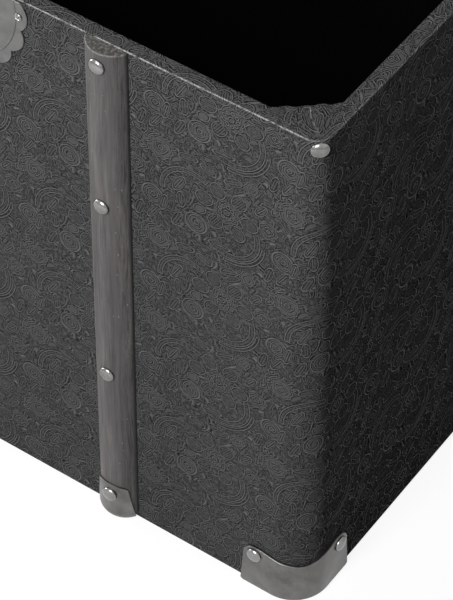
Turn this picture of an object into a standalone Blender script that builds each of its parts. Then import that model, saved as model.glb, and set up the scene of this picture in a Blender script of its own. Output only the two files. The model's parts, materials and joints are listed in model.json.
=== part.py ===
"""A storage trunk with its lid open: boards under embossed leathercloth, half-round slats, metal caps,
a turn-knob lock, stop hinges and drop handles. Metres, +Z up, front towards -Y.
The origin is the middle of the underside. The lid is drawn closed and then turned open on its hinge."""

import math

import bmesh
import bpy
from mathutils import Matrix, Vector

# Trunk
LENGTH = 0.4464
DEPTH = 0.420
BODY_HEIGHT = 0.356
LID_HEIGHT = 0.090
RIM_GAP = 0.0006
CORNER_RADIUS = 0.010
CAPPED_RADIUS = 0.021
CREASE = 0.0012
OPEN_ANGLE = math.radians(90)
CLOSE_FIT = 0.0003

# Walls, from the outside in
CLOTH = 0.0007
BOARD = 0.0073
LINING = 0.0007
FLOOR_BOARD = 0.006
LID_BOARD = 0.005
TURN_IN = 0.012
TURN_UNDER = 0.030

# Corner blocks in the mouth of the body
BLOCK_WIDTH = 0.0255
BLOCK_DEPTH = 0.0215
BLOCK_HEIGHT = 0.022

# Half-round slats
SLAT_WIDTH = 0.026
SLAT_HEIGHT = 0.0087
SLAT_FROM_CORNER = 0.1253
SLAT_END_RADIUS = 0.006
SLAT_STEPS = 10
MITRE_GAP = 0.0002

# Metal caps on the slats
STRAP_METAL = 0.0009
STRAP_HALF_ANGLE = math.radians(42)
STRAP_TOE_ANGLE = math.radians(62)
STRAP_LENGTH = 0.0304
STRAP_CROWN = 0.0029
STRAP_FLARE = 1.4
STRAP_TOE_REACH = 0.005
STRAP_STEPS = 8

# Pressed corner caps
CAP_METAL = 0.0016
CAP_DROP = 0.0028
CAP_LEG = 0.0415
CAP_LEAN = 0.0018
CAP_HEIGHT = 0.0323
CAP_VALLEY = 0.0283
CAP_VALLEY_FLAT = 0.0065
CAP_VALLEY_WIDTH = 0.0295
CAP_ROUND = 0.0075
CAP_FOLD = 0.0025
CAP_TOE = 0.014

# Scalloped lock plate
PLATE_METAL = 0.0011
PLATE_DROP = 0.0100
LOBES = 16
LOBE_REACH = 0.0497
LOBE_CUSP = 0.0463
LOBE_STEPS = 5
PLATE_SLIT = 0.0004

# Hasp and turn knob
HASP_RISE = 0.022
HASP_STANDOFF = 0.0032
HASP_WIDTH = 0.024
HASP_METAL = 0.0016
HASP_LENGTH = 0.0525
HASP_KNUCKLE = 0.0026
HASP_KNUCKLE_WIDTH = 0.014
HASP_LUG_WIDTH = 0.0045
HASP_PIN_RADIUS = 0.0012
KNOB_DROP = 0.0140
SLOT_WIDTH = 0.0090
SLOT_HEIGHT = 0.0170
POST_RADIUS = 0.0026
COLLAR_RADIUS = 0.0040
COLLAR_HEIGHT = 0.0015
WING_LENGTH = 0.0140
WING_WIDTH = 0.0056
WING_THICKNESS = 0.0042
WING_CLEARANCE = 0.0008

# Stop hinges
HINGE_FROM_CENTRE = 0.125
LEAF_WIDTH = 0.044
LEAF_HEIGHT = 0.030
LEAF_METAL = 0.0015
KNUCKLE_RADIUS = 0.0030
HINGE_PIN_RADIUS = 0.0015
KNUCKLE_SHARE = 0.012
KNUCKLE_CLEARANCE = 0.0004
CHEEK_METAL = 0.0020
CHEEK_REACH = 0.0130
CHEEK_DROP = 0.0200

# Drop handles
HANDLE_UP = 0.235
HANDLE_PLATE_LENGTH = 0.114
HANDLE_PLATE_HEIGHT = 0.028
HANDLE_PLATE_METAL = 0.0012
EYE_FROM_CENTRE = 0.040
EYE_WIDTH = 0.006
EYE_RADIUS = 0.0053
BAIL_RADIUS = 0.0028
BAIL_HALF_WIDTH = 0.049
BAIL_DROP = 0.036
BAIL_BEND = 0.010
BAIL_STANDOFF = 0.0046
BAIL_FIT = 0.0003

# Worked out from the sizes above
HALF_LENGTH = LENGTH / 2
HALF_DEPTH = DEPTH / 2
BOARD_INSET = CLOTH + CLOSE_FIT
LINING_INSET = BOARD_INSET + BOARD + CLOSE_FIT
WALL = LINING_INSET + LINING
FLOOR_TOP = BOARD_INSET + FLOOR_BOARD
LID_BOTTOM = BODY_HEIGHT + RIM_GAP
LID_TOP = LID_BOTTOM + LID_HEIGHT
SLAT_RADIUS = ((SLAT_WIDTH / 2) ** 2 + SLAT_HEIGHT**2) / (2 * SLAT_HEIGHT)
SLAT_CENTRE = SLAT_RADIUS - SLAT_HEIGHT
SLAT_X = HALF_LENGTH - SLAT_FROM_CORNER
SIDES = {"left": -1, "right": 1}
CORNERS = {"front_right": (1, -1), "back_right": (1, 1), "back_left": (-1, 1), "front_left": (-1, -1)}
PLATE_FACE = CLOSE_FIT + PLATE_METAL
HINGE_AXIS = Vector((0, HALF_DEPTH + CLOSE_FIT + KNUCKLE_RADIUS, BODY_HEIGHT + RIM_GAP / 2))
HASP_AXIS = Vector((0, -HALF_DEPTH - PLATE_FACE - HASP_STANDOFF, LID_BOTTOM + HASP_RISE))
KNOB_CENTRE = Vector((0, -HALF_DEPTH - PLATE_FACE, BODY_HEIGHT - KNOB_DROP))


def clear_scene():
    for thing in list(bpy.data.objects):
        bpy.data.objects.remove(thing)


def make_material(name, colour, roughness, metallic=0.0):
    material = bpy.data.materials.new(name)
    material.use_nodes = True
    shader = material.node_tree.nodes["Principled BSDF"]
    shader.inputs["Base Color"].default_value = (*colour, 1.0)
    shader.inputs["Roughness"].default_value = roughness
    shader.inputs["Metallic"].default_value = metallic
    return material


def attach(thing, pivot):
    """Hangs a thing on a pivot, its own matrix still saying where it stands while closed."""
    thing.parent = pivot
    thing.matrix_parent_inverse = Matrix.Translation(-pivot.location)


def add_part(name, shape, material, pivot=None, place=None):
    part = bpy.data.objects.new(name, shape)
    shape.materials.clear()
    shape.materials.append(material)
    bpy.context.scene.collection.objects.link(part)
    part.matrix_basis = place or Matrix.Identity(4)
    if pivot:
        attach(part, pivot)
    return part


def add_pivot(name, centre, turn=0.0, axis="X", pivot=None):
    """An empty on a joint's axis, turned from its closed place to where it rests."""
    empty = bpy.data.objects.new(name, None)
    bpy.context.scene.collection.objects.link(empty)
    empty.matrix_basis = Matrix.Translation(centre) @ Matrix.Rotation(turn, 4, axis)
    if pivot:
        attach(empty, pivot)
    return empty


def stand(origin, outward, along):
    """The frame of a piece whose -Y points outward from its face and whose +Z runs along it."""
    y, z = -Vector(outward), Vector(along)
    turn = Matrix((y.cross(z), y, z)).transposed().to_4x4()
    return Matrix.Translation(origin) @ turn


def finish_mesh(name, bm):
    bmesh.ops.recalc_face_normals(bm, faces=bm.faces)
    mesh = bpy.data.meshes.new(name)
    bm.to_mesh(mesh)
    bm.free()
    mesh.shade_smooth()
    mesh.set_sharp_from_angle(angle=math.radians(35))
    return mesh


def join_rings(bm, rings, ring_of_rings=False):
    """Skins rings of equally many points: capped at both ends, or closed like a tyre."""
    rows = [[bm.verts.new(point) for point in ring] for ring in rings]
    pairs = list(zip(rows, rows[1:]))
    if ring_of_rings:
        pairs.append((rows[-1], rows[0]))
    else:
        bm.faces.new(rows[0])
        bm.faces.new(rows[-1])
    for low, high in pairs:
        for k in range(len(low)):
            after = (k + 1) % len(low)
            bm.faces.new((low[k], low[after], high[after], high[k]))


def ring_mesh(name, rings, ring_of_rings=False):
    bm = bmesh.new()
    join_rings(bm, rings, ring_of_rings)
    return finish_mesh(name, bm)


def sheet_mesh(name, inside, outside):
    """A bent sheet of metal between two grids of points, each a list of rows."""
    rings = [outer + inner[::-1] for inner, outer in zip(inside, outside)]
    return ring_mesh(name, rings)


def prism(name, outline, low, high, axis="Z"):
    """An outline pushed along an axis; it holds the two other coordinates, in X, Y, Z order."""
    place = {
        "X": lambda p, s: (s, p[0], p[1]),
        "Y": lambda p, s: (p[0], s, p[1]),
        "Z": lambda p, s: (p[0], p[1], s),
    }[axis]
    return ring_mesh(name, [[place(p, low) for p in outline], [place(p, high) for p in outline]])


def block(name, low, high):
    outline = [(low[0], low[1]), (high[0], low[1]), (high[0], high[1]), (low[0], high[1])]
    return prism(name, outline, low[2], high[2])


def arc(centre, radius, start, end, steps):
    """Points on an arc, with its angles in degrees."""
    points = []
    for step in range(steps + 1):
        angle = math.radians(start + (end - start) * step / steps)
        points.append((centre[0] + radius * math.cos(angle), centre[1] + radius * math.sin(angle)))
    return points


def rod(name, centre, radius, low, high, axis, sides=12):
    return prism(name, arc(centre, radius, 0, 360 - 360 / sides, sides - 1), low, high, axis)


def combine(name, base, *steps):
    """The mesh left when tools are joined to it, cut from it or set across it."""
    work = bpy.data.objects.new(name, base)
    things = [work]
    for operation, tool in steps:
        helper = bpy.data.objects.new(name + "_tool", tool)
        helper.hide_render = True
        helper.display_type = "WIRE"
        things.append(helper)
        boolean = work.modifiers.new(operation, "BOOLEAN")
        boolean.operation = operation
        boolean.object = helper
    for thing in things:
        bpy.context.scene.collection.objects.link(thing)
    graph = bpy.context.evaluated_depsgraph_get()
    result = bpy.data.meshes.new_from_object(work.evaluated_get(graph))
    result.name = name
    for thing in things:
        bpy.data.objects.remove(thing)
    return result


def rounded_plan(half_x, half_y, radius, steps=6):
    """A rectangle's outline with round corners, seen from above."""
    corners = ((half_x, half_y, 0), (-half_x, half_y, 90), (-half_x, -half_y, 180), (half_x, -half_y, 270))
    points = []
    for x, y, start in corners:
        centre = (x - math.copysign(radius, x), y - math.copysign(radius, y))
        points += arc(centre, radius, start, start + 90, steps)
    return points


def edge_radius(from_cap, rise):
    """The outer vertical edges are rounder towards their capped ends, on a body or lid that high."""
    return CAPPED_RADIUS - (CAPPED_RADIUS - CORNER_RADIUS) * from_cap / rise


def trunk_ring(inset, height):
    """The trunk's outline drawn in by a distance, at a height; inside the boards the corners are square."""
    radius = CORNER_RADIUS
    if inset < BOARD / 2:
        on_lid = height > BODY_HEIGHT
        radius = edge_radius(LID_TOP - height, LID_HEIGHT) if on_lid else edge_radius(height, BODY_HEIGHT)
    radius = max(radius - inset, CLOSE_FIT)
    plan = rounded_plan(HALF_LENGTH - inset, HALF_DEPTH - inset, radius)
    return [(x, y, height) for x, y in plan]


def trunk_rings(sections):
    return [trunk_ring(inset, height) for inset, height in sections]


def wall_boards(prefix, low, high, material, pivot=None):
    """Four boards butted at the corners, the front and back ones between the sides' ends."""
    inner = BOARD_INSET + BOARD
    sections = ((BOARD_INSET, low), (BOARD_INSET, high), (inner, high), (inner, low))
    ring = ring_mesh("boards", trunk_rings(sections), ring_of_rings=True)
    seam_y = HALF_DEPTH - inner
    side_y = seam_y - CLOSE_FIT
    for name, sign in (("front", -1), ("back", 1)):
        near, far = sorted((sign * seam_y, sign * DEPTH))
        half = block("half", (-LENGTH, near, low - WALL), (LENGTH, far, high + WALL))
        mesh = combine(name, ring.copy(), ("INTERSECT", half))
        add_part(f"{prefix}{name}_board", mesh, material, pivot)
    for name, sign in SIDES.items():
        near, far = sorted((0, sign * LENGTH))
        half = block("half", (near, -side_y, low - WALL), (far, side_y, high + WALL))
        mesh = combine(name, ring.copy(), ("INTERSECT", half))
        add_part(f"{prefix}{name}_board", mesh, material, pivot)


def half_round_ring(radius, height_at):
    """A half-round slat's section; height_at gives how far along the slat a point lies."""
    flat = SLAT_CENTRE + CLOSE_FIT
    limit = math.acos(flat / radius)
    ring = []
    for step in range(SLAT_STEPS + 1):
        angle = limit * (2 * step / SLAT_STEPS - 1)
        proud = radius * math.cos(angle) - SLAT_CENTRE
        ring.append((radius * math.sin(angle), -proud, height_at(proud)))
    return ring


def end_fillet(offset):
    """Radius and height down the rounded end of a slat, for a skin that far outside it."""
    inner = SLAT_RADIUS - SLAT_END_RADIUS
    curve = arc((inner, SLAT_END_RADIUS), SLAT_END_RADIUS + offset, 0, -90, 4)
    return curve


def slat_mesh(length, rounded_foot, mitred_top):
    rings = []
    if rounded_foot:
        for radius, height in reversed(end_fillet(0)):
            rings.append(half_round_ring(radius, lambda proud, z=height: z))
    else:
        rings.append(half_round_ring(SLAT_RADIUS, lambda proud: 0.0))
    if mitred_top:
        rings.append(half_round_ring(SLAT_RADIUS, lambda proud: length + proud - MITRE_GAP))
    else:
        rings.append(half_round_ring(SLAT_RADIUS, lambda proud: length))
    return ring_mesh("slat", rings)


def strap_angles(limit):
    return [limit * (2 * step / STRAP_STEPS - 1) for step in range(STRAP_STEPS + 1)]


def strap_edge(angle):
    """How far up its slat a metal cap reaches: its middle stands higher than its corners."""
    return STRAP_LENGTH - STRAP_CROWN * (angle / STRAP_HALF_ANGLE) ** 2


def strap_limit(height):
    """How far round the slat a metal cap reaches: it flares towards the slat's end."""
    share = (1 - max(height, 0) / STRAP_LENGTH) ** STRAP_FLARE
    return STRAP_HALF_ANGLE + (STRAP_TOE_ANGLE - STRAP_HALF_ANGLE) * share


def strap_point(angle, radius, height):
    return (radius * math.sin(angle), SLAT_CENTRE - radius * math.cos(angle), height)


def slat_end_cap():
    """Metal over the crown of a slat, round its end and under the edge of the trunk."""
    skins = []
    for offset in (CLOSE_FIT, CLOSE_FIT + STRAP_METAL):
        crown = SLAT_RADIUS + offset
        rows = [[strap_point(a, crown, strap_edge(a)) for a in strap_angles(STRAP_HALF_ANGLE)]]
        for share in (0.6, 0.35):
            height = share * STRAP_LENGTH
            rows.append([strap_point(a, crown, height) for a in strap_angles(strap_limit(height))])
        for radius, height in end_fillet(offset):
            rows.append([strap_point(a, radius, height) for a in strap_angles(strap_limit(height))])
        toe = SLAT_RADIUS - SLAT_END_RADIUS - STRAP_TOE_REACH
        rows.append([strap_point(a, toe, -offset) for a in strap_angles(STRAP_TOE_ANGLE)])
        skins.append(rows)
    return sheet_mesh("slat_end_cap", *skins)


def slat_bend_cap():
    """Metal over the mitre of a front slat and a top slat; height 0 is the lid's top."""
    skins = []
    angles = strap_angles(STRAP_HALF_ANGLE)
    for offset in (CLOSE_FIT, CLOSE_FIT + STRAP_METAL):
        crown = SLAT_RADIUS + offset
        front, bend, top = [], [], []
        for a in angles:
            x, y, _ = strap_point(a, crown, 0)
            front.append((x, y, -strap_edge(a)))
            bend.append((x, y, -y))
            top.append((x, strap_edge(a), -y))
        skins.append([front, bend, top])
    return sheet_mesh("slat_bend_cap", *skins)


def cap_ring(outset, height, rise):
    """The plan of a corner block at the corner (0, 0) of a body or lid that high, on -X and +Y of it."""
    far = 2 * CAP_LEG
    radius = edge_radius(height, rise)
    curve = arc((-radius, radius), radius + outset, -90, 0, 6)
    plan = [(-far, far), (-far, -outset), *curve, (outset, far)]
    return [(x, y, height) for x, y in plan]


def cap_block(outset, drop, fold, rise):
    rings = []
    for along, down in arc((outset - fold, fold - drop), fold, -90, 0, 3):
        rings.append(cap_ring(along, down, rise))
    rings.append(cap_ring(outset, 2 * CAP_HEIGHT, rise))
    return ring_mesh("cap_block", rings)


def cap_face_outline():
    """One face of a corner cap: distance from the corner, and height."""
    shoulder = arc((CAP_LEG - CAP_LEAN - CAP_ROUND, CAP_HEIGHT - CAP_ROUND), CAP_ROUND, 0, 90, 4)
    below, beyond = -2 * CAP_DROP, -CAP_ROUND
    return [(CAP_LEG + below, below), (CAP_LEG, 0), *shoulder, (beyond, CAP_HEIGHT), (beyond, below)]


def cap_valley_outline():
    """What a cap's upper edge leaves out where it dips towards the corner."""
    above, beyond = 2 * CAP_HEIGHT, -CAP_ROUND
    slope = (CAP_HEIGHT - CAP_VALLEY) / (CAP_VALLEY_WIDTH - CAP_VALLEY_FLAT)
    far = CAP_VALLEY_FLAT + (above - CAP_VALLEY) / slope
    return [(CAP_VALLEY_FLAT, CAP_VALLEY), (far, above), (beyond, above), (beyond, CAP_VALLEY)]


def corner_cap(rise):
    """A pressed cap for the corner at (0, 0, 0) of a body or lid that high on -X, +Y and +Z of it."""
    outset = CLOSE_FIT + CAP_METAL
    outer = cap_block(outset, CAP_DROP, CAP_FOLD, rise)
    inner = cap_block(CLOSE_FIT, CAP_DROP - CAP_METAL, CAP_FOLD - CAP_METAL, rise)
    face = cap_face_outline()
    reach = 3 * CAP_LEG
    front = prism("front", [(-along, up) for along, up in face], -reach, reach, "Y")
    side = prism("side", face, -reach, reach, "X")
    middle = (CAP_TOE + CAP_LEG) / 3
    near = CAP_ROUND
    toe = [(near, -near), (-CAP_LEG - near, -near), (-CAP_LEG - near, CAP_TOE), (-middle, middle)]
    toe += [(-CAP_TOE, CAP_LEG + near), (near, CAP_LEG + near)]
    under = prism("under", toe, -reach, reach, "Z")
    dip = cap_valley_outline()
    front_dip = prism("front_dip", [(-along, up) for along, up in dip], -reach, CAP_VALLEY_FLAT, "Y")
    side_dip = prism("side_dip", dip, -CAP_VALLEY_FLAT, reach, "X")
    steps = [("DIFFERENCE", inner), ("INTERSECT", front), ("INTERSECT", side), ("INTERSECT", under)]
    steps += [("DIFFERENCE", front_dip), ("DIFFERENCE", side_dip)]
    return combine("corner_cap", outer, *steps)


def scallop_outline():
    """The lock plate's edge about its middle: equal round lobes, one of them pointing along +X."""
    half = math.pi / LOBES
    cusp = Vector((LOBE_CUSP * math.cos(half), LOBE_CUSP * math.sin(half)))
    middle = (LOBE_REACH**2 - cusp.length_squared) / (2 * (LOBE_REACH - cusp.x))
    radius = LOBE_REACH - middle
    swing = math.degrees(math.atan2(cusp.y, cusp.x - middle))
    points = []
    for lobe in range(LOBES):
        turn = Matrix.Rotation(2 * half * lobe, 2)
        for x, y in arc((middle, 0), radius, -swing, swing, LOBE_STEPS)[:-1]:
            points.append(turn @ Vector((x, y)))
    return points


def lock_plate(low, high):
    """The part of the round lock plate between two heights."""
    centre = BODY_HEIGHT - PLATE_DROP
    outline = [(x, z + centre) for x, z in scallop_outline()]
    plate = prism("plate", outline, -HALF_DEPTH - PLATE_FACE, -HALF_DEPTH - CLOSE_FIT, "Y")
    keep = block("keep", (-LENGTH, -DEPTH, low), (LENGTH, DEPTH, high))
    return combine("lock_plate", plate, ("INTERSECT", keep))


def lid_lock_plate():
    """The plate on the lid with the two lugs that hold the hasp's pin."""
    plate = lock_plate(LID_BOTTOM + PLATE_SLIT, LID_TOP)
    steps = []
    root = -HALF_DEPTH - PLATE_FACE + PLATE_METAL / 2
    round_end = arc((HASP_AXIS.y, HASP_AXIS.z), HASP_KNUCKLE, 90, 270, 6)
    outline = [(root, HASP_AXIS.z - HASP_KNUCKLE), (root, HASP_AXIS.z + HASP_KNUCKLE), *round_end]
    near = HASP_KNUCKLE_WIDTH / 2 + CLOSE_FIT
    for sign in SIDES.values():
        low, high = sorted((sign * near, sign * (near + HASP_LUG_WIDTH)))
        steps.append(("UNION", prism("lug", outline, low, high, "X")))
    bore = rod("bore", HASP_AXIS.yz, HASP_PIN_RADIUS + CLOSE_FIT, -HASP_WIDTH, HASP_WIDTH, "X")
    return combine("lid_lock_plate", plate, *steps, ("DIFFERENCE", bore))


def hasp_mesh():
    """A strap that hangs from its knuckle, closed, with a slot for the turn knob."""
    half = HASP_WIDTH / 2
    neck = HASP_KNUCKLE_WIDTH / 2
    shoulder = HASP_KNUCKLE + 4 * CLOSE_FIT
    x, y, z = HASP_AXIS
    tip = arc((0, z - HASP_LENGTH + half), half, 0, -180, 10)
    outline = [(-neck, z), (neck, z), (neck, z - shoulder), (half, z - 2 * shoulder), *tip]
    outline += [(-half, z - 2 * shoulder), (-neck, z - shoulder)]
    strap = prism("strap", outline, y - HASP_METAL / 2, y + HASP_METAL / 2, "Y")
    knuckle = rod("knuckle", HASP_AXIS.yz, HASP_KNUCKLE, -neck, neck, "X")
    slot_round = SLOT_WIDTH / 2
    straight = SLOT_HEIGHT / 2 - slot_round
    slot = arc((0, KNOB_CENTRE.z + straight), slot_round, 0, 180, 6)
    slot += arc((0, KNOB_CENTRE.z - straight), slot_round, 180, 360, 6)
    opening = prism("slot", slot, y - HASP_WIDTH, y + HASP_WIDTH, "Y")
    bore = rod("bore", HASP_AXIS.yz, HASP_PIN_RADIUS + CLOSE_FIT, -half, half, "X")
    return combine("hasp", strap, ("UNION", knuckle), ("DIFFERENCE", opening), ("DIFFERENCE", bore))


def hasp_pin():
    reach = HASP_KNUCKLE_WIDTH / 2 + HASP_LUG_WIDTH + 3 * CLOSE_FIT
    return rod("hasp_pin", HASP_AXIS.yz, HASP_PIN_RADIUS, -reach, reach, "X", 10)


def turn_knob():
    """A post with a wing across its outer end, about the post's axis at (0, 0), outward along -Y."""
    wing_at = HASP_STANDOFF + HASP_METAL / 2 + WING_CLEARANCE
    post = rod("post", (0, 0), POST_RADIUS, -wing_at - WING_THICKNESS / 2, -CLOSE_FIT, "Y", 14)
    tip = WING_WIDTH / 2
    straight = WING_LENGTH / 2 - tip
    outline = arc((0, straight), tip, 0, 180, 6) + arc((0, -straight), tip, 180, 360, 6)
    wing = prism("wing", outline, -wing_at - WING_THICKNESS, -wing_at, "Y")
    return combine("turn_knob", wing, ("UNION", post))


def knob_collar():
    """A low ring round the post."""
    bore = POST_RADIUS + CLOSE_FIT
    faces = ((COLLAR_RADIUS, -CLOSE_FIT), (COLLAR_RADIUS, -CLOSE_FIT - COLLAR_HEIGHT))
    faces += ((bore, -CLOSE_FIT - COLLAR_HEIGHT), (bore, -CLOSE_FIT))
    sides = 14
    rings = []
    for radius, depth in faces:
        ring = arc((0, 0), radius, 0, 360 - 360 / sides, sides - 1)
        rings.append([(x, depth, z) for x, z in ring])
    return ring_mesh("knob_collar", rings, ring_of_rings=True)


def hinge_leaf(on_lid):
    """A leaf about its pin, (0, 0, 0): the wall lies at -Y, and the leaf hangs down or stands up."""
    up = 1 if on_lid else -1
    clear = KNUCKLE_RADIUS + KNUCKLE_CLEARANCE
    near, far = sorted((up * clear, up * (clear + LEAF_HEIGHT)))
    back, face = -KNUCKLE_RADIUS, LEAF_METAL - KNUCKLE_RADIUS
    half = LEAF_WIDTH / 2
    plate = block("leaf", (-half, back, near), (half, face, far))
    centre = KNUCKLE_SHARE / 2
    outer = half - CHEEK_METAL - CLOSE_FIT
    spans = [(-centre, centre)]
    if not on_lid:
        spans = [(centre + CLOSE_FIT, outer), (-outer, -centre - CLOSE_FIT)]
    root = clear + 2 * LEAF_METAL
    curl = math.degrees(math.acos(face / KNUCKLE_RADIUS))
    knuckle = [(back, -root), (face, -root), *arc((0, 0), KNUCKLE_RADIUS, -curl, 180, 12)]
    knuckle = [(y, -up * z) for y, z in knuckle]
    steps = [("UNION", prism("knuckle", knuckle, low, high, "X")) for low, high in spans]
    if not on_lid:
        top = KNUCKLE_RADIUS - LEAF_METAL - CLOSE_FIT
        cheek = [(back, -CHEEK_DROP), (back, -clear), (back / 3, top), (CHEEK_REACH, top)]
        cheek += [(CHEEK_REACH, -LEAF_METAL), (face, -CHEEK_DROP)]
        for low, high in ((half - CHEEK_METAL, half), (-half, CHEEK_METAL - half)):
            steps.append(("UNION", prism("cheek", cheek, low, high, "X")))
    reach = outer + CLOSE_FIT / 2
    bore = rod("bore", (0, 0), HINGE_PIN_RADIUS + CLOSE_FIT, -reach, reach, "X")
    return combine("hinge_leaf", plate, *steps, ("DIFFERENCE", bore))


def handle_plate():
    """A plate with two eyes for the bail, on a face that looks along +X; (0, 0, 0) is on that face."""
    end = HANDLE_PLATE_HEIGHT / 2
    straight = HANDLE_PLATE_LENGTH / 2 - end
    outline = arc((straight, 0), end, -90, 90, 8) + arc((-straight, 0), end, 90, 270, 8)
    face = CLOSE_FIT + HANDLE_PLATE_METAL
    plate = prism("handle_plate", outline, CLOSE_FIT, face, "X")
    axis = face + BAIL_STANDOFF
    root = face - HANDLE_PLATE_METAL / 2
    eye = [(root, EYE_RADIUS), (root, -EYE_RADIUS), *arc((axis, 0), EYE_RADIUS, -90, 90, 8)]
    steps = []
    for sign in SIDES.values():
        low, high = (sign * EYE_FROM_CENTRE - EYE_WIDTH / 2, sign * EYE_FROM_CENTRE + EYE_WIDTH / 2)
        steps.append(("UNION", prism("eye", eye, low, high, "Y")))
    bore = rod("bore", (axis, 0), BAIL_RADIUS + BAIL_FIT, -HANDLE_PLATE_LENGTH, HANDLE_PLATE_LENGTH, "Y", 12)
    return combine("handle_plate", plate, *steps, ("DIFFERENCE", bore))


def bail_curve():
    """A bent rod about its pivot, the Y axis: in through one eye, down, across and up to the other."""
    start = EYE_FROM_CENTRE - EYE_WIDTH / 2 - BAIL_RADIUS / 2
    small = 2 * BAIL_RADIUS
    half = [(start, 0.0)]
    half += arc((BAIL_HALF_WIDTH - small, -small), small, 90, 0, 4)
    half += arc((BAIL_HALF_WIDTH - BAIL_BEND, BAIL_BEND - BAIL_DROP), BAIL_BEND, 0, -90, 5)
    route = [(-y, z) for y, z in half] + half[::-1]
    curve = bpy.data.curves.new("bail", "CURVE")
    curve.dimensions = "3D"
    curve.bevel_depth = BAIL_RADIUS
    curve.bevel_resolution = 2
    curve.use_fill_caps = True
    spline = curve.splines.new("POLY")
    spline.points.add(len(route) - 1)
    for point, (y, z) in zip(spline.points, route):
        point.co = (0.0, y, z, 1.0)
    return curve


def build_carcass(paint):
    wall_boards("", FLOOR_TOP + CLOSE_FIT, BODY_HEIGHT - BOARD_INSET, paint["board"])
    floor = ring_mesh("floor", trunk_rings(((BOARD_INSET, BOARD_INSET), (BOARD_INSET, FLOOR_TOP))))
    add_part("floor_board", floor, paint["board"])
    rim, lip = BODY_HEIGHT, BODY_HEIGHT - TURN_IN
    cloth_path = (
        (0, CREASE), (0, rim - CREASE), (CREASE, rim), (WALL - CREASE, rim), (WALL, rim - CREASE),
        (WALL, lip), (WALL - CLOTH, lip), (WALL - CLOTH, rim - CLOTH), (CLOTH, rim - CLOTH),
        (CLOTH, CLOTH), (TURN_UNDER, CLOTH), (TURN_UNDER, 0), (CREASE, 0),
    )
    cover = ring_mesh("body_cover", trunk_rings(cloth_path), ring_of_rings=True)
    add_part("body_cover", cover, paint["leathercloth"])
    floor_low = FLOOR_TOP + CLOSE_FIT
    lining_path = ((LINING_INSET, floor_low), (LINING_INSET, lip - CLOSE_FIT), (WALL, lip - CLOSE_FIT))
    lining_path += ((WALL, floor_low + LINING),)
    add_part("body_lining", ring_mesh("body_lining", trunk_rings(lining_path)), paint["lining"])
    under = TURN_UNDER + CLOSE_FIT
    sheet = ring_mesh("underside_sheet", trunk_rings(((under, 0), (under, CLOTH))))
    add_part("underside_sheet", sheet, paint["lining"])
    for corner, (sx, sy) in CORNERS.items():
        x, y = sx * (HALF_LENGTH - WALL - CLOSE_FIT), sy * (HALF_DEPTH - WALL - CLOSE_FIT)
        plan = [(x, y), (x - sx * BLOCK_WIDTH, y), (x, y - sy * BLOCK_DEPTH)]
        wedge = prism("corner_block", plan, BODY_HEIGHT - BLOCK_HEIGHT, BODY_HEIGHT)
        add_part(f"corner_block_{corner}", wedge, paint["leathercloth"])


def build_body_trim(paint):
    slat, foot = slat_mesh(BODY_HEIGHT, True, False), slat_end_cap()
    for side, sign in SIDES.items():
        place = stand((sign * SLAT_X, -HALF_DEPTH, 0), (0, -1, 0), (0, 0, 1))
        add_part(f"body_slat_{side}", slat, paint["slat_wood"], place=place)
        add_part(f"slat_foot_{side}", foot, paint["gunmetal"], place=place)
    cap = corner_cap(BODY_HEIGHT)
    for quarter, (corner, (sx, sy)) in enumerate(CORNERS.items()):
        turn = Matrix.Rotation(math.radians(90) * quarter, 4, "Z")
        place = Matrix.Translation((sx * HALF_LENGTH, sy * HALF_DEPTH, 0)) @ turn
        add_part(f"corner_cap_{corner}", cap, paint["gunmetal"], place=place)
    return foot


def build_lid(paint, pivot, tail):
    low, top = LID_BOTTOM, LID_TOP
    wall_boards("lid_", low + BOARD_INSET, top - BOARD_INSET - LID_BOARD - CLOSE_FIT, paint["board"], pivot)
    panel = trunk_rings(((BOARD_INSET, top - BOARD_INSET - LID_BOARD), (BOARD_INSET, top - BOARD_INSET)))
    add_part("lid_top_board", ring_mesh("lid_top_board", panel), paint["board"], pivot)
    lip = low + TURN_IN
    cloth_path = (
        (CREASE, top), (0, top - CREASE), (0, low + CREASE), (CREASE, low), (WALL - CREASE, low),
        (WALL, low + CREASE), (WALL, lip), (WALL - CLOTH, lip), (WALL - CLOTH, low + CLOTH),
        (CLOTH, low + CLOTH), (CLOTH, top - CLOTH),
    )
    add_part("lid_cover", ring_mesh("lid_cover", trunk_rings(cloth_path)), paint["leathercloth"], pivot)
    ceiling = top - BOARD_INSET - LID_BOARD - 2 * CLOSE_FIT
    lining_path = ((LINING_INSET, ceiling), (LINING_INSET, lip + CLOSE_FIT), (WALL, lip + CLOSE_FIT))
    lining_path += ((WALL, ceiling - LINING),)
    add_part("lid_lining", ring_mesh("lid_lining", trunk_rings(lining_path)), paint["lining"], pivot)
    slat_front, slat_top = slat_mesh(LID_HEIGHT, False, True), slat_mesh(DEPTH, True, True)
    bend = slat_bend_cap()
    for side, sign in SIDES.items():
        x = sign * SLAT_X
        on_front = stand((x, -HALF_DEPTH, low), (0, -1, 0), (0, 0, 1))
        on_top = stand((x, HALF_DEPTH, top), (0, 0, 1), (0, -1, 0))
        over_edge = stand((x, -HALF_DEPTH, top), (0, -1, 0), (0, 0, 1))
        add_part(f"lid_front_slat_{side}", slat_front, paint["slat_wood"], pivot, on_front)
        add_part(f"lid_top_slat_{side}", slat_top, paint["slat_wood"], pivot, on_top)
        add_part(f"slat_bend_{side}", bend, paint["gunmetal"], pivot, over_edge)
        add_part(f"slat_tail_{side}", tail, paint["gunmetal"], pivot, on_top)
    cap = corner_cap(LID_HEIGHT)
    turned_over = Matrix.Rotation(math.radians(180), 4, "X")
    for quarter, (corner, (sx, sy)) in enumerate(CORNERS.items()):
        turn = Matrix.Rotation(math.radians(90) * (quarter - 1), 4, "Z")
        place = Matrix.Translation((sx * HALF_LENGTH, sy * HALF_DEPTH, top)) @ turn @ turned_over
        add_part(f"lid_cap_{corner}", cap, paint["gunmetal"], pivot, place)


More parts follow.
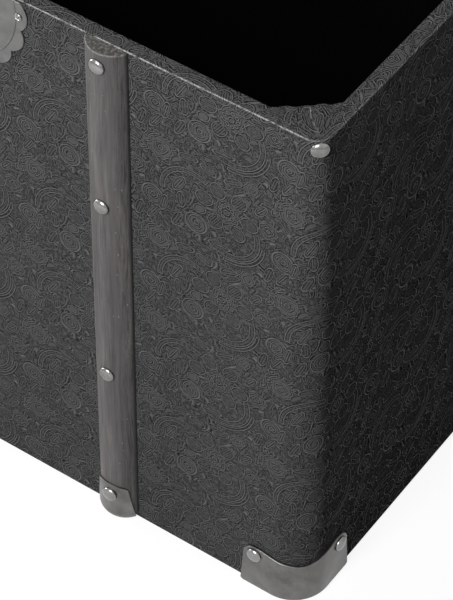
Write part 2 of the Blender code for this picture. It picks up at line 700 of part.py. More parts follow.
def build_lock(paint, lid_pivot):
    lower = lock_plate(0, BODY_HEIGHT - PLATE_SLIT)
    add_part("lock_plate_body", lower, paint["gunmetal"])
    on_plate = Matrix.Translation(KNOB_CENTRE)
    add_part("knob_collar", knob_collar(), paint["nickel"], place=on_plate)
    add_part("turn_knob", turn_knob(), paint["nickel"], place=on_plate)
    add_part("lock_plate_lid", lid_lock_plate(), paint["gunmetal"], lid_pivot)
    add_part("hasp_pin", hasp_pin(), paint["nickel"], lid_pivot)
    hasp_pivot = add_pivot("hasp_pivot", HASP_AXIS, -math.pi, "X", lid_pivot)
    add_part("hasp", hasp_mesh(), paint["gunmetal"], hasp_pivot)


def build_hinges(paint, lid_pivot):
    body_leaf, lid_leaf = hinge_leaf(False), hinge_leaf(True)
    reach = LEAF_WIDTH / 2 - CHEEK_METAL - CLOSE_FIT
    pin = rod("hinge_pin", (0, 0), HINGE_PIN_RADIUS, -reach, reach, "X", 10)
    for side, sign in SIDES.items():
        place = Matrix.Translation(HINGE_AXIS + Vector((sign * HINGE_FROM_CENTRE, 0, 0)))
        add_part(f"hinge_leaf_body_{side}", body_leaf, paint["gunmetal"], place=place)
        add_part(f"hinge_pin_{side}", pin, paint["nickel"], place=place)
        add_part(f"hinge_leaf_lid_{side}", lid_leaf, paint["gunmetal"], lid_pivot, place)


def build_handles(paint):
    plate = handle_plate()
    bail = bail_curve()
    reach = CLOSE_FIT + HANDLE_PLATE_METAL + BAIL_STANDOFF
    for quarter, (side, sign) in enumerate(SIDES.items()):
        turn = Matrix.Rotation(math.pi * (1 - quarter), 4, "Z")
        place = Matrix.Translation((sign * HALF_LENGTH, 0, HANDLE_UP)) @ turn
        add_part(f"handle_plate_{side}", plate, paint["gunmetal"], place=place)
        on_axis = Matrix.Translation((sign * (HALF_LENGTH + reach), 0, HANDLE_UP)) @ turn
        add_part(f"handle_bail_{side}", bail, paint["gunmetal"], place=on_axis)


def main():
    clear_scene()
    paint = {
        "board": make_material("board", (0.45, 0.33, 0.20), 0.8),
        "leathercloth": make_material("leathercloth", (0.065, 0.065, 0.063), 0.55),
        "lining": make_material("lining", (0.008, 0.008, 0.008), 0.95),
        "slat_wood": make_material("slat_wood", (0.13, 0.12, 0.105), 0.6),
        "gunmetal": make_material("gunmetal", (0.20, 0.20, 0.195), 0.38, 1.0),
        "nickel": make_material("nickel", (0.62, 0.61, 0.59), 0.22, 1.0),
    }
    lid_pivot = add_pivot("lid_pivot", HINGE_AXIS, -OPEN_ANGLE)
    build_carcass(paint)
    foot = build_body_trim(paint)
    build_lid(paint, lid_pivot, foot)
    build_lock(paint, lid_pivot)
    build_hinges(paint, lid_pivot)
    build_handles(paint)


main()
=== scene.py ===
# %% [markdown]
# # A storage trunk with its lid open
# The trunk is a box of boards under embossed leathercloth. It has half-round slats, pressed metal caps,
# domed nails, a round lock plate cut off at the rim, stop hinges and drop handles. The solids come from
# the frame, and each cell below dresses one kind of piece or mixes one finish.

# %% Load the frame
import json
import math
from functools import partialmethod

import bmesh
import bpy
from mathutils import Matrix, Vector


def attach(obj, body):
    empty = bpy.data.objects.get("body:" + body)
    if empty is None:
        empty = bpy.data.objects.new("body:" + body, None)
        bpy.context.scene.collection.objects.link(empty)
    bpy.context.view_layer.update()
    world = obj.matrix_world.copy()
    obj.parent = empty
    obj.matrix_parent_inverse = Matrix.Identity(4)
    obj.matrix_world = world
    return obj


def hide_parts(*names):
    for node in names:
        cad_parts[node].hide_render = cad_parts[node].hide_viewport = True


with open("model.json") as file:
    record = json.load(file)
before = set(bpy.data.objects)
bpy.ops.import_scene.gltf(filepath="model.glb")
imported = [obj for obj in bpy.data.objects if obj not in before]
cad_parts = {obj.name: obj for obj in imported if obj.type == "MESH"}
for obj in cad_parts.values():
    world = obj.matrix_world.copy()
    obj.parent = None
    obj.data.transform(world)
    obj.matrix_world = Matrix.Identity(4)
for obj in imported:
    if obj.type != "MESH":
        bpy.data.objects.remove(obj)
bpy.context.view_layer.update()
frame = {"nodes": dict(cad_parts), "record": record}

# %% [markdown]
# ## The sizes that the pieces share
# Lengths are in metres. The lid is drawn shut, which is easier to think about, and a matrix then turns
# each of its meshes up on the hinge to the place where it stands open.

# %% Sizes of the trunk
LENGTH, DEPTH, BODY_HEIGHT, LID_HEIGHT = 0.4464, 0.420, 0.356, 0.090
HALF_LENGTH, HALF_DEPTH = LENGTH / 2, DEPTH / 2
LID_BOTTOM = BODY_HEIGHT + 0.0006
LID_TOP = LID_BOTTOM + LID_HEIGHT
WALL, CLOTH, CREASE = 0.0093, 0.0007, 0.0012
RIM_RADIUS, CAPPED_RADIUS, LIP, UNDER_FOLD = 0.010, 0.021, 0.012, 0.030
SLAT_X, SLAT_HEIGHT, SLAT_WIDTH = HALF_LENGTH - 0.1253, 0.0087, 0.026
HINGE = Vector((0, 0.2133, 0.3563))
CORNERS = {"front_right": (1, -1), "back_right": (1, 1), "back_left": (-1, 1), "front_left": (-1, -1)}
SIDES = {"left": -1, "right": 1}
LID_OPEN = Matrix.Translation(HINGE) @ Matrix.Rotation(-math.pi / 2, 4, "X") @ Matrix.Translation(-HINGE)

# %% [markdown]
# ## Writing shader maths as sums
# A finish is easier to read as an expression than as a web of nodes. Value wraps one output socket and
# overloads the operators, so x * 2 + 1 adds two Math nodes. Net makes any other node with one method, and
# Finish is the net of one material.


# %% A socket that takes part in sums, and a material that makes nodes
class Value:
    def __init__(self, net, socket):
        self.net, self.socket = net, socket

    def maths(self, operation, *others):
        return self.net.node("ShaderNodeMath", {"operation": operation}, dict(enumerate((self, *others))))

    def __rsub__(self, other):
        return self.net.node("ShaderNodeMath", {"operation": "SUBTRACT"}, {0: other, 1: self})

    __add__ = __radd__ = partialmethod(maths, "ADD")
    __mul__ = __rmul__ = partialmethod(maths, "MULTIPLY")
    __sub__, __truediv__ = partialmethod(maths, "SUBTRACT"), partialmethod(maths, "DIVIDE")


class Net:
    """The nodes of a material, of the world or of a Geometry Nodes tree."""

    def __init__(self, tree):
        self.tree, self.nodes, self.links = tree, tree.nodes, tree.links

    def join(self, value, socket):
        if isinstance(value, Value):
            self.links.new(value.socket, socket)
        else:
            socket.default_value = value

    def node(self, kind, settings=None, sockets=None, output=0):
        node = self.nodes.new(kind)
        for key, value in (settings or {}).items():
            setattr(node, key, value)
        for key, value in (sockets or {}).items():
            for item in value if isinstance(value, list) else [value]:
                self.join(item, node.inputs[key])
        return Value(self, node.outputs[output])

    def vector(self, x, y, z=0.0):
        return self.node("ShaderNodeCombineXYZ", None, {0: x, 1: y, 2: z})

    def parts(self, vector):
        """The X, Y and Z of a vector."""
        split = self.node("ShaderNodeSeparateXYZ", None, {0: vector}).socket.node
        return [Value(self, socket) for socket in split.outputs]


class Finish(Net):
    def __init__(self, name, **uniform):
        self.material = bpy.data.materials.new(name)
        self.material.use_nodes = True
        super().__init__(self.material.node_tree)
        self.feed(**uniform)

    def feed(self, **sockets):
        for name, value in sockets.items():
            self.join(value, self.nodes["Principled BSDF"].inputs[name.replace("_", " ")])

    def place(self):
        """Where a point lies on its object."""
        return self.node("ShaderNodeTexCoord", output="Object")

    def uv(self, layer):
        """How far across and along a UV layer a point lies."""
        return self.parts(self.node("ShaderNodeUVMap", {"uv_map": layer}))[:2]

    def stretched(self, place, **settings):
        return self.node("ShaderNodeMapping", None, {"Vector": place, **settings})

    def length(self, x, y):
        return self.node("ShaderNodeVectorMath", {"operation": "LENGTH"}, {0: self.vector(x, y)}, output=1)

    def colours(self, factor, *stops):
        """A colour ramp from (place, colour) stops."""
        shade = self.node("ShaderNodeValToRGB", None, {0: factor})
        elements = shade.socket.node.color_ramp.elements
        while len(elements) < len(stops):
            elements.new(0.5)
        for element, (place, colour) in zip(elements, stops):
            element.position, element.color = place, (*colour, 1)
        return shade

    def blend(self, factor, first, second):
        """Mixes two colours."""
        sides = [(*side, 1) if isinstance(side, tuple) else side for side in (first, second)]
        sockets = {0: factor, 6: sides[0], 7: sides[1]}
        return self.node("ShaderNodeMix", {"data_type": "RGBA"}, sockets, output=2)

    def noise(self, place, scale, detail=2.0, rough=0.5):
        sockets = {"Vector": place, "Scale": scale, "Detail": detail, "Roughness": rough}
        return self.node("ShaderNodeTexNoise", None, sockets)

    def done(self, colour, rough, height, depth, **others):
        """Feeds the shader, with a bump of that depth, and hands over the material."""
        bump = self.node("ShaderNodeBump", None, {"Height": height, "Distance": depth, "Strength": 1.0})
        self.feed(Base_Color=colour, Roughness=rough, Normal=bump, **others)
        return self.material


def ease(value, start, end):
    """0 at start and 1 at end, with soft shoulders; start may be the larger."""
    sockets = {"Value": value, "From Min": start, "From Max": end}
    return value.net.node("ShaderNodeMapRange", {"interpolation_type": "SMOOTHSTEP"}, sockets)


def line(distance, width):
    """1 on a line and 0 beyond its width."""
    return ease(distance.maths("ABSOLUTE"), width, 0.0)


def lay_over(below, mask, above):
    return below.net.node("ShaderNodeMix", None, {0: mask, 2: below, 3: above})


# %% [markdown]
# ## Embossed leathercloth
# The cloth is pressed with one repeat of flowers and scrolls, 79 mm wide and 64.5 mm high, whose lines
# stand up as thin ridges. An image would do, but here the repeat is drawn with distances instead: a
# circle is a constant distance, a flower folds the angle round its middle, and a scroll is a spiral.
# Each shape gives the distance to its nearest ridge, and one profile at the end turns that distance into a
# ridge with a groove beside it, in the bump and in the colour, where the ridge gets a painted highlight and
# the groove painted shade. The pattern reads a UV map in metres, so it bends round corners and over
# the rim as one sheet of cloth would.


# %% Ornaments of the repeat, in millimetres
FULL_TURN = 2 * math.pi
FINE = 2.6  # a distance that grows this much faster makes a finer ridge


class Ornament:
    """Draws shapes on top of each other and keeps how far the nearest ridge is."""

    wide, high, tilt = 79.0, 64.5, math.radians(1.9)

    def __init__(self, finish, across, along, flower_at):
        across, along = (across - flower_at[0]) * 1000, (along - flower_at[1]) * 1000
        self.x = across * math.cos(self.tilt) - along * math.sin(self.tilt)
        self.y = along * math.cos(self.tilt) + across * math.sin(self.tilt)
        self.finish = finish
        self.gap = self.lace()

    def lace(self):
        """Small curved cells, each with a thin line inside, that repeat with the rest."""
        cells, across, around = 0.17, FULL_TURN / self.wide, FULL_TURN / self.high
        sway_x = (self.y * (around * 5) + 1.0).maths("SINE") * 0.9
        sway_y = (self.x * (across * 6)).maths("SINE") * 0.9
        turn_x, turn_y = (self.x + sway_x) * across, (self.y + sway_y) * around
        x, y = turn_x.maths("COSINE") * (1 / across), turn_x.maths("SINE") * (1 / across)
        z, w = turn_y.maths("COSINE") * (1 / around), turn_y.maths("SINE") * (1 / around)
        settings = {"feature": "DISTANCE_TO_EDGE", "voronoi_dimensions": "4D"}
        sockets = {"Vector": self.finish.vector(x, y, z), "W": w, "Scale": cells, "Randomness": 0.9}
        wall = self.finish.node("ShaderNodeTexVoronoi", settings, sockets) * (1 / cells)
        return (wall + 0.17).maths("MINIMUM", (wall - 1.3).maths("ABSOLUTE") * FINE + 0.14)

    def around(self, x, y):
        """Coordinates about a spot of the repeat."""
        across = (self.x - x).maths("WRAP", self.wide / 2, -self.wide / 2)
        return across, (self.y - y).maths("WRAP", self.high / 2, -self.high / 2)

    def polar(self, x, y):
        across, along = self.around(x, y)
        return self.finish.length(across, along), along.maths("ARCTAN2", across)

    def draw(self, edge, *lines):
        """Lays a shape over the rest: edge is negative inside it, and lines are distances too.

        The next shape's coordinates lean on this one by a hair. Cycles then works the shapes out one after
        another, and a shader with over thirty of them still fits into its memory."""
        gap = edge.maths("ABSOLUTE")
        for distance in lines:
            gap = gap.maths("MINIMUM", distance)
        self.gap = lay_over(self.gap, ease(edge, 0.75, 0.65), gap)
        hair = self.gap * 0.0001
        self.x, self.y = self.x + hair, self.y + hair

    def stripes(self, along, step, edge):
        """Thin hatching that fades out at the edge."""
        stripe = along.maths("WRAP", step / 2, -step / 2).maths("ABSOLUTE")
        return stripe * FINE + ease(edge, -1.0, -0.4) + 0.10

    def oval(self, x, y, reach_x, reach_y):
        """Distance from an oval's outline, negative inside it."""
        return (self.finish.length(x / reach_x, y / reach_y) - 1.0) * math.sqrt(reach_x * reach_y)

    def leaf(self, x, y, long, wide, turn, inside=None):
        """An oval leaf or petal: plain, with a vein, or hatched if inside is the step of the lines."""
        across, along = self.around(x, y)
        turn = math.radians(turn)
        lengthwise = across * math.cos(turn) + along * math.sin(turn)
        sideways = along * math.cos(turn) - across * math.sin(turn)
        edge, lines = self.oval(lengthwise, sideways, long, wide), []
        if inside == "vein":
            lines = [sideways.maths("ABSOLUTE") + ease(edge, -1.2, -0.5)]
        elif inside:
            lines = [self.stripes(sideways, inside, edge)]
        self.draw(edge, *lines)

    def band(self, x, y, inner, outer, start, end, rungs):
        """A curved band with cross lines, from one angle to another in degrees."""
        away, angle = self.polar(x, y)
        middle, half = math.radians((start + end) / 2), math.radians((end - start) / 2)
        reach, width = (inner + outer) / 2, (outer - inner) / 2
        swing = (angle - middle).maths("WRAP", math.pi, -math.pi)
        past = (swing.maths("ABSOLUTE") - half) * reach
        edge = ((away - reach).maths("ABSOLUTE") - width).maths("MAXIMUM", past)
        self.draw(edge, self.stripes(swing * reach, rungs, edge))

    def scroll(self, x, y, reach, pitch, turn=1.0):
        """A spiral with a bead at its heart."""
        away, angle = self.polar(x, y)
        coil = (away - angle * (turn * pitch / FULL_TURN)).maths("WRAP", pitch / 2, -pitch / 2)
        coil = lay_over(coil.maths("ABSOLUTE"), ease(away, 2.3, 1.9), (away - 1.3).maths("ABSOLUTE"))
        self.draw(away - reach, coil)

    def rings(self, x, y, heart, *radii):
        """A bead in wavy rings, of which the last is the outline."""
        away, angle = self.polar(x, y)
        lines = [(away - heart).maths("ABSOLUTE")]
        for radius in radii[:-1]:
            wavy = (angle * round(1.3 * radius)).maths("COSINE") * 0.35 + radius
            lines.append((away - wavy).maths("ABSOLUTE"))
        wavy = (angle * round(1.4 * radii[-1])).maths("COSINE") * 0.4 + radii[-1]
        self.draw(away - wavy, *lines)

    def flower_heart(self):
        """A scalloped ring round a ring of beads."""
        away, angle = self.polar(0, 0)
        scallop = (angle * 11).maths("COSINE") * 0.5 + 7.4
        turn = angle.maths("WRAP", math.pi / 9, -math.pi / 9)
        bead = self.oval(away * turn.maths("COSINE") - 4.2, away * turn.maths("SINE"), 1.0, 1.0)
        self.draw(away - scallop, bead.maths("ABSOLUTE"), (away - 1.6).maths("ABSOLUTE"))


# %% Draw the repeat
def draw_repeat(pattern):
    leaf, band, rings, scroll = pattern.leaf, pattern.band, pattern.rings, pattern.scroll
    band(-21, -3, 16.6, 19.4, 62, 186, 1.9)
    leaf(-29, 3, 6.4, 2.7, 62, "vein")
    leaf(-27.5, -7.5, 5.2, 2.6, 95, 1.3)
    leaf(-35, 22, 6.5, 2.4, 38, "vein")
    leaf(-24, 24, 5.8, 2.6, 12, 1.4)
    leaf(-12, 22.5, 5.0, 2.4, -18, "vein")
    leaf(3, 23, 5.6, 2.7, 24, 1.4)
    rings(14, 25, 1.3, 4.4)
    leaf(20, 13.5, 4.8, 2.5, 52, "vein")
    rings(38.5, 21.4, 1.4, 3.6, 7.1)
    band(38.5, 21.4, 8.4, 10.8, 100, 215, 1.7)
    for x, y in ((32, 30.5), (30.4, 23), (27.5, 17)):
        rings(x, y, 0.5, 1.9)
    band(1.2, -11.9, 16.3, 19.3, -125, 27, 1.5)
    band(1.2, -11.9, 20.6, 22.4, -95, -5, 2.2)
    leaf(-3.5, -26, 6.5, 2.1, 4, "vein")
    rings(24.7, 2.1, 0.9, 2.9, 5.3)
    scroll(34.5, -14, 6.4, 2.8)
    leaf(35, -26, 6.2, 2.3, 60, "vein")
    leaf(26.5, -28, 5.6, 2.4, 74, 1.3)
    scroll(-17.8, -18.4, 6.6, 3.0, -1.0)
    leaf(-29.5, -22.5, 5.8, 2.5, 66, 1.4)
    leaf(-38, -16, 5.8, 2.4, 78, "vein")
    leaf(-16, -7, 3.8, 3.0, 20)
    leaf(-13.6, 2.4, 5.2, 4.6, 0, 1.25)
    leaf(-5.9, 11.9, 5.0, 4.4, -60, 1.25)
    leaf(7.1, 10.6, 5.0, 4.4, 55, 1.25)
    leaf(13.6, -0.6, 5.2, 4.4, 0, 1.25)
    leaf(7, -11.0, 5.0, 4.3, -58, 1.25)
    leaf(-6.5, -10.0, 5.0, 4.3, 58, 1.25)
    pattern.flower_heart()


# %% Mix the leathercloth: worn pale at the rim and where two sheets lap over a corner block, with a painted highlight on the ridges and painted shade in the grooves
SEAM_AT = 2.0


def mix_leathercloth():
    finish = Finish("leathercloth", Specular_IOR_Level=0.0, Coat_Roughness=0.42)
    across, along = finish.uv("cloth")
    place = finish.vector(across, along)
    pattern = Ornament(finish, across, along, (1.2559, BODY_HEIGHT - 0.0755))
    draw_repeat(pattern)
    grain, patches = finish.noise(place, 1500, 3.0, 0.6), finish.noise(place, 28, 3.0, 0.6)
    pits, worn = finish.noise(place, 620, 2.0, 0.5), finish.noise(place, 140, 4.0, 0.65)
    ridge = ease(pattern.gap, 0.42, 0.10)
    groove = line(pattern.gap - 0.60, 0.34) * ease(pits, 0.38, 0.54)
    sideways = finish.parts(finish.place())[0].maths("ABSOLUTE")
    on_end = ease(sideways, HALF_LENGTH - 0.010, HALF_LENGTH - 0.002)
    rim = line(along - BODY_HEIGHT, 0.0006) * ease(worn, 0.36, 0.54) * (1.0 - on_end * 0.7)
    seam = line(along - SEAM_AT, 0.0006) * ease(worn, 0.34, 0.54) * 0.42
    # Painted light: the ridges are coloured lighter as a painted highlight and the grooves beside them
    # darker as painted shade, on top of their bump.
    tone = ridge * 0.27 - groove * 0.38 + grain * 0.26 + patches * 0.14 + 0.255
    colour = finish.colours(
        tone, (0.02, (0.009, 0.009, 0.009)), (0.40, (0.067, 0.068, 0.068)), (0.80, (0.118, 0.119, 0.118))
    )
    colour = finish.blend(rim.maths("MAXIMUM", seam), colour, (0.37, 0.37, 0.36))
    height = ridge * 0.60 - groove * 0.45 + grain * 0.14
    rough = 0.60 - ridge * 0.10 + grain * 0.10
    return finish.done(colour, rough, height, 0.00070, Coat_Weight=ridge * 0.36)


leathercloth = mix_leathercloth()
print("leathercloth:", len(leathercloth.node_tree.nodes), "nodes")

# %% [markdown]
# ## Wood, metals and lining
# The slats are stained grey-brown with a fine grain that runs lengthwise. The caps are dull dark metal
# with faint scratches, and the nails are bright nickel. The lining is black cloth, painted darker still as
# the shade inside the trunk.


# %% Mix the slat wood, with painted shade along its edges and on its right flank
def mix_slat_wood():
    finish = Finish("slat_wood", Specular_IOR_Level=0.15)
    across, along = finish.uv("grain")
    place = finish.place()
    height = finish.parts(place)[2]
    round_slat = across.maths("WRAP", 0.15, -0.15)
    sway = finish.noise(finish.vector(across * 2.0, along), 14, 2.0) * 0.004
    lengthwise = finish.vector(across + sway, along * 0.035)
    broad, fine = finish.noise(lengthwise, 330, 3.0, 0.6), finish.noise(lengthwise, 1500, 3.0, 0.7)
    wash = finish.noise(finish.vector(across, along * 0.15), 60, 3.0, 0.6)
    chips = finish.noise(finish.stretched(place, Scale=(1, 1, 0.45)), 700, 3.0, 0.55)
    colour = finish.colours(
        broad * 0.48 + fine * 0.38 + wash * 0.22 - 0.04,
        (0.30, (0.038, 0.036, 0.036)),
        (0.50, (0.092, 0.088, 0.087)),
        (0.64, (0.146, 0.140, 0.136)),
        (0.80, (0.290, 0.270, 0.255)),
    )
    left_edge = ease(round_slat, 0.0085, 0.001)
    bare = ease(chips + left_edge * 0.10, 0.70, 0.76)
    below = ease(height, BODY_HEIGHT + 0.0006, BODY_HEIGHT + 0.0002)
    end_face = ease(height, BODY_HEIGHT - 0.00015, BODY_HEIGHT - 0.00005) * below
    end_edge = ease(height, BODY_HEIGHT - 0.0011, BODY_HEIGHT - 0.0006) * below * ease(chips, 0.35, 0.50)
    end_grain = finish.blend(ease(chips, 0.46, 0.64), (0.040, 0.039, 0.038), (0.13, 0.122, 0.113))
    # Painted shade: near-black lines along both edges of the slat, where it meets the cloth.
    painted_contact_shade = ease(round_slat, 0.0300, 0.0324).maths("MAXIMUM", ease(round_slat, 0.0012, 0.0002))
    # Dark streaks along the grain on the right flank only: partly grain and partly painted shade on the
    # side turned from the light.
    right_flank_streaks_and_shade = ease(round_slat, 0.018, 0.030) * ease(fine, 0.45, 0.62) * 0.7
    for factor, over in (
        (ease(wash, 0.55, 0.72) * 0.4, (0.200, 0.160, 0.148)),
        (left_edge * ease(broad, 0.40, 0.60) * 0.6, (0.30, 0.258, 0.238)),
        (bare * 0.75, (0.40, 0.34, 0.29)),
        (end_edge * 0.3, (0.34, 0.31, 0.28)),
        (end_face * 0.9, end_grain),
        (painted_contact_shade.maths("MAXIMUM", right_flank_streaks_and_shade) * (1.0 - end_face), (0.010, 0.010, 0.010)),
    ):
        colour = finish.blend(factor, colour, over)
    return finish.done(colour, 0.62 - broad * 0.14, fine * 0.7 + broad * 0.6 - bare * 0.4, 0.00022)


slat_wood = mix_slat_wood()


# %% Mix the metals
def mix_metal(name, dark, light, gloss, scratch):
    finish = Finish(name, Metallic=1.0)
    place = finish.place()
    cloudy, specks = finish.noise(place, 90, 4.0, 0.6), finish.noise(place, 1300, 3.0, 0.6)
    turned = finish.stretched(place, Rotation=(0.5, 0.7, 0.3), Scale=(900, 900, 45))
    scratches = ease(finish.noise(turned, 1.0, 2.0, 0.5), 0.60, 0.72) * scratch
    colour = finish.colours(cloudy * 0.7 + specks * 0.25 + scratches, (0.28, dark), (0.78, light))
    rough = cloudy * 0.16 + specks * 0.08 + (gloss - 0.12)
    return finish.done(colour, rough, specks * 0.5 - scratches, 0.00005)


gunmetal = mix_metal("gunmetal", (0.090, 0.088, 0.085), (0.214, 0.211, 0.205), 0.36, 0.03)
nickel = mix_metal("nickel", (0.12, 0.12, 0.118), (0.38, 0.375, 0.365), 0.24, 0.05)


# %% Mix the lining and the bare board
def mix_lining():
    finish = Finish("lining", Specular_IOR_Level=0.05)
    place = finish.place()
    wave = {"Vector": place, "Scale": 420, "Distortion": 0.6}
    threads = finish.node("ShaderNodeTexWave", None, wave, output=1)
    lint = finish.noise(place, 260, 4.0, 0.6)
    # Painted shade: black cloth made far darker than black cloth is, so that the inside of the trunk stays
    # as dark as its shade.
    colour = finish.colours(lint * 0.8 + threads * 0.2, (0.3, (0.0006,) * 3), (0.8, (0.0022,) * 3))
    return finish.done(colour, 0.80 + lint * 0.2, threads * 0.5 + lint * 0.5, 0.0001)


def mix_board():
    finish = Finish("board")
    grain = finish.noise(finish.stretched(finish.place(), Scale=(12, 12, 260)), 1.0, 4.0, 0.6)
    colour = finish.colours(grain, (0.3, (0.30, 0.19, 0.10)), (0.7, (0.52, 0.39, 0.24)))
    return finish.done(colour, 0.70 + grain * 0.2, grain, 0.0002)


SLOTS = {"leathercloth": leathercloth, "slat_wood": slat_wood, "gunmetal": gunmetal, "nickel": nickel}
SLOTS.update({"lining": mix_lining(), "board": mix_board()})

# %% [markdown]
# ## From rings of points to a finished piece
# Most pieces here are skins over rings of points: a slat is a half-round ring moved along a line, and the
# cloth is the trunk's outline moved along the path of its fold. A UV map in metres goes on at the same
# time, because at that moment it is known how far along and across each point lies.


# %% Rings, arcs and outlines
def arc(centre, radius, start, end, steps):
    """Points on an arc, with its angles in degrees."""
    angles = [math.radians(start + (end - start) * step / steps) for step in range(steps + 1)]
    return [(centre[0] + radius * math.cos(a), centre[1] + radius * math.sin(a)) for a in angles]


def circle(centre, radius, sides):
    return arc(centre, radius, 0, 360 - 360 / sides, sides - 1)


def span(limit, steps=24):
    """Even steps from -limit to limit."""
    return [limit * (2 * step / steps - 1) for step in range(steps + 1)]


def lengths_along(points, closed=False):
    total, found = 0.0, [0.0]
    for a, b in zip(points, points[1:] + points[:1] if closed else points[1:]):
        total += (Vector(b) - Vector(a)).length
        found.append(total)
    return found


def skin(bm, rings, layer, around, along, loop=False, caps=True):
    """Skins rings of equally many points and writes their UV map; around may differ from ring to ring."""
    arounds = around if isinstance(around[0], list) else [around] * len(rings)
    uv = bm.loops.layers.uv.get(layer) or bm.loops.layers.uv.new(layer)
    rows = [[bm.verts.new(point) for point in ring] for ring in rings]
    count = len(rows[0])

    def add(corners, places):
        for face_loop, place in zip(bm.faces.new(corners).loops, places):
            face_loop[uv].uv = place

    if caps and not loop:
        for end in (0, -1):
            add(rows[end], [(arounds[end][k], along[end]) for k in range(count)])
    for i, j in enumerate(list(range(1, len(rows))) + ([0] if loop else [])):
        v0, v1 = along[i], along[i + 1]
        low, high = arounds[i], arounds[j]
        for k in range(count):
            n = (k + 1) % count
            places = ((low[k], v0), (low[k + 1], v0), (high[k + 1], v1), (high[k], v1))
            add((rows[i][k], rows[i][n], rows[j][n], rows[j][k]), places)


def shaded(mesh, sharp):
    mesh.shade_smooth()
    mesh.set_sharp_from_angle(angle=math.radians(sharp))
    return mesh


def to_mesh(name, bm):
    bmesh.ops.recalc_face_normals(bm, faces=bm.faces)
    mesh = bpy.data.meshes.new(name)
    bm.to_mesh(mesh)
    bm.free()
    return shaded(mesh, 38)


def loft(name, rings, along, measured=0, **settings):
    """A mesh of its own from rings; one of them says how long the way round is."""
    bm = bmesh.new()
    skin(bm, rings, "grain", lengths_along(rings[measured], True), along, **settings)
    return to_mesh(name, bm)


def prism(name, outline, low, high, axis="Z"):
    """An outline pushed along an axis; it holds the two other coordinates, in X, Y, Z order."""
    put = {"X": lambda p, s: (s, *p), "Y": lambda p, s: (p[0], s, p[1]), "Z": lambda p, s: (*p, s)}[axis]
    return loft(name, [[put(p, s) for p in outline] for s in (low, high)], (low, high))


def rod(name, centre, radius, low, high, axis, sides=28):
    return prism(name, circle(centre, radius, sides), low, high, axis)


def linked(name, data):
    made = bpy.data.objects.new(name, data)
    bpy.context.scene.collection.objects.link(made)
    return made


def evaluated(name, mesh, *modifiers):
    """The mesh that modifiers make of a mesh; each is (kind, settings) and perhaps a tree's inputs."""
    work = linked(name, mesh)
    for kind, settings, *inputs in modifiers:
        modifier = work.modifiers.new(kind, kind)
        for key, value in settings.items():
            setattr(modifier, key, value)
        for identifier, value in dict(*inputs).items():
            modifier[identifier] = value
    result = bpy.data.meshes.new_from_object(work.evaluated_get(bpy.context.evaluated_depsgraph_get()))
    result.name = name
    bpy.data.objects.remove(work)
    return result


def softened(mesh, width=0.0003, segments=2):
    """The same mesh with its sharp edges rounded."""
    bevel = {"width": width, "segments": segments, "limit_method": "ANGLE", "angle_limit": math.radians(40)}
    return shaded(evaluated(mesh.name, mesh, ("BEVEL", bevel)), 50)


def shaped(name, base, *steps):
    """Joins tools to a mesh, cuts them from it or keeps what they share."""
    cuts = [{"operation": operation, "object": linked("tool", tool)} for operation, tool in steps]
    mesh = evaluated(name, base, *[("BOOLEAN", cut) for cut in cuts])
    for cut in cuts:
        bpy.data.objects.remove(cut["object"])
    return mesh


def both(name, outline, near, far):
    """Steps that join an outline pushed along X, on the right and on the left."""
    return [("UNION", prism(name, outline, low, high, "X")) for low, high in ((near, far), (-far, -near))]


pieces_made = {}


def finished(name, mesh, slot, body, *nodes, place=Matrix()):
    """Puts a mesh in its place, gives it its finish and lets it ride on its body."""
    mesh = mesh.copy()
    mesh.name = name
    mesh.transform((LID_OPEN if body in ("lid", "hasp") else Matrix()) @ place)
    mesh.materials.clear()
    mesh.materials.append(SLOTS[slot])
    piece = linked(name, mesh)
    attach(piece, body)
    if nodes:
        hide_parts(*nodes)
    pieces_made[name] = sum(len(face.vertices) - 2 for face in mesh.polygons)
    return piece


FRONT, UP, MOVED = (0, -1, 0), (0, 0, 1), Matrix.Translation


def stand(origin, outward, along):
    """The frame of a piece whose -Y points outward from its face and whose +Z runs along it."""
    y, z = -Vector(outward), Vector(along)
    return MOVED(origin) @ Matrix((y.cross(z), y, z)).transposed().to_4x4()


# %% [markdown]
# ## The cloth on the body and on the lid
# The sheet runs up the wall, rolls over the rim, hangs a little way down inside and is turned under the
# bottom. Its section is a path of (inset, height) points, and every point becomes one ring. The upright
# edges are 10 mm round at the rim and 21 mm round at the capped ends, so each ring has its own lengths.

# %% Where the middles of the four corners lie along the cloth
ROUND_STEPS = 12
RIM_QUARTER = math.pi / 4 * RIM_RADIUS
FRONT_LONG, SIDE_LONG = (side - 2 * RIM_RADIUS + 2 * RIM_QUARTER for side in (LENGTH, DEPTH))
CORNER_AT = [RIM_QUARTER + v for v in (0, FRONT_LONG, FRONT_LONG + SIDE_LONG, 2 * FRONT_LONG + SIDE_LONG)]


# %% Wrap the body and the lid
def edge_radius(height):
    share = height / BODY_HEIGHT if height <= BODY_HEIGHT else (LID_TOP - height) / LID_HEIGHT
    return CAPPED_RADIUS - (CAPPED_RADIUS - RIM_RADIUS) * share


def trunk_ring(inset, height):
    outer = edge_radius(height) if inset < WALL / 2 else RIM_RADIUS
    radius = max(outer - inset, 0.0003)
    points = []
    for sx, sy, start in ((1, 1, 0), (-1, 1, 90), (-1, -1, 180), (1, -1, 270)):
        centre = (sx * (HALF_LENGTH - inset - radius), sy * (HALF_DEPTH - inset - radius))
        points += [(x, y, height) for x, y in arc(centre, radius, start, start + 90, ROUND_STEPS)]
    return points


def lengths_round(height):
    """How far along the cloth each point of a ring lies: a rounder corner takes up more of it."""
    half, found = RIM_QUARTER + edge_radius(height) - RIM_RADIUS, []
    for middle in CORNER_AT:
        found += [middle + part for part in span(half, ROUND_STEPS)]
    return found + [found[0] + 2 * (FRONT_LONG + SIDE_LONG)]


def cloth_skin(path, along, **settings):
    bm = bmesh.new()
    rings = [trunk_ring(inset, height) for inset, height in path]
    skin(bm, rings, "cloth", [lengths_round(height) for _, height in path], along, **settings)
    return bm


def crease(inset, height, start, end, steps=5):
    return arc((inset, height), CREASE, start, end, steps)


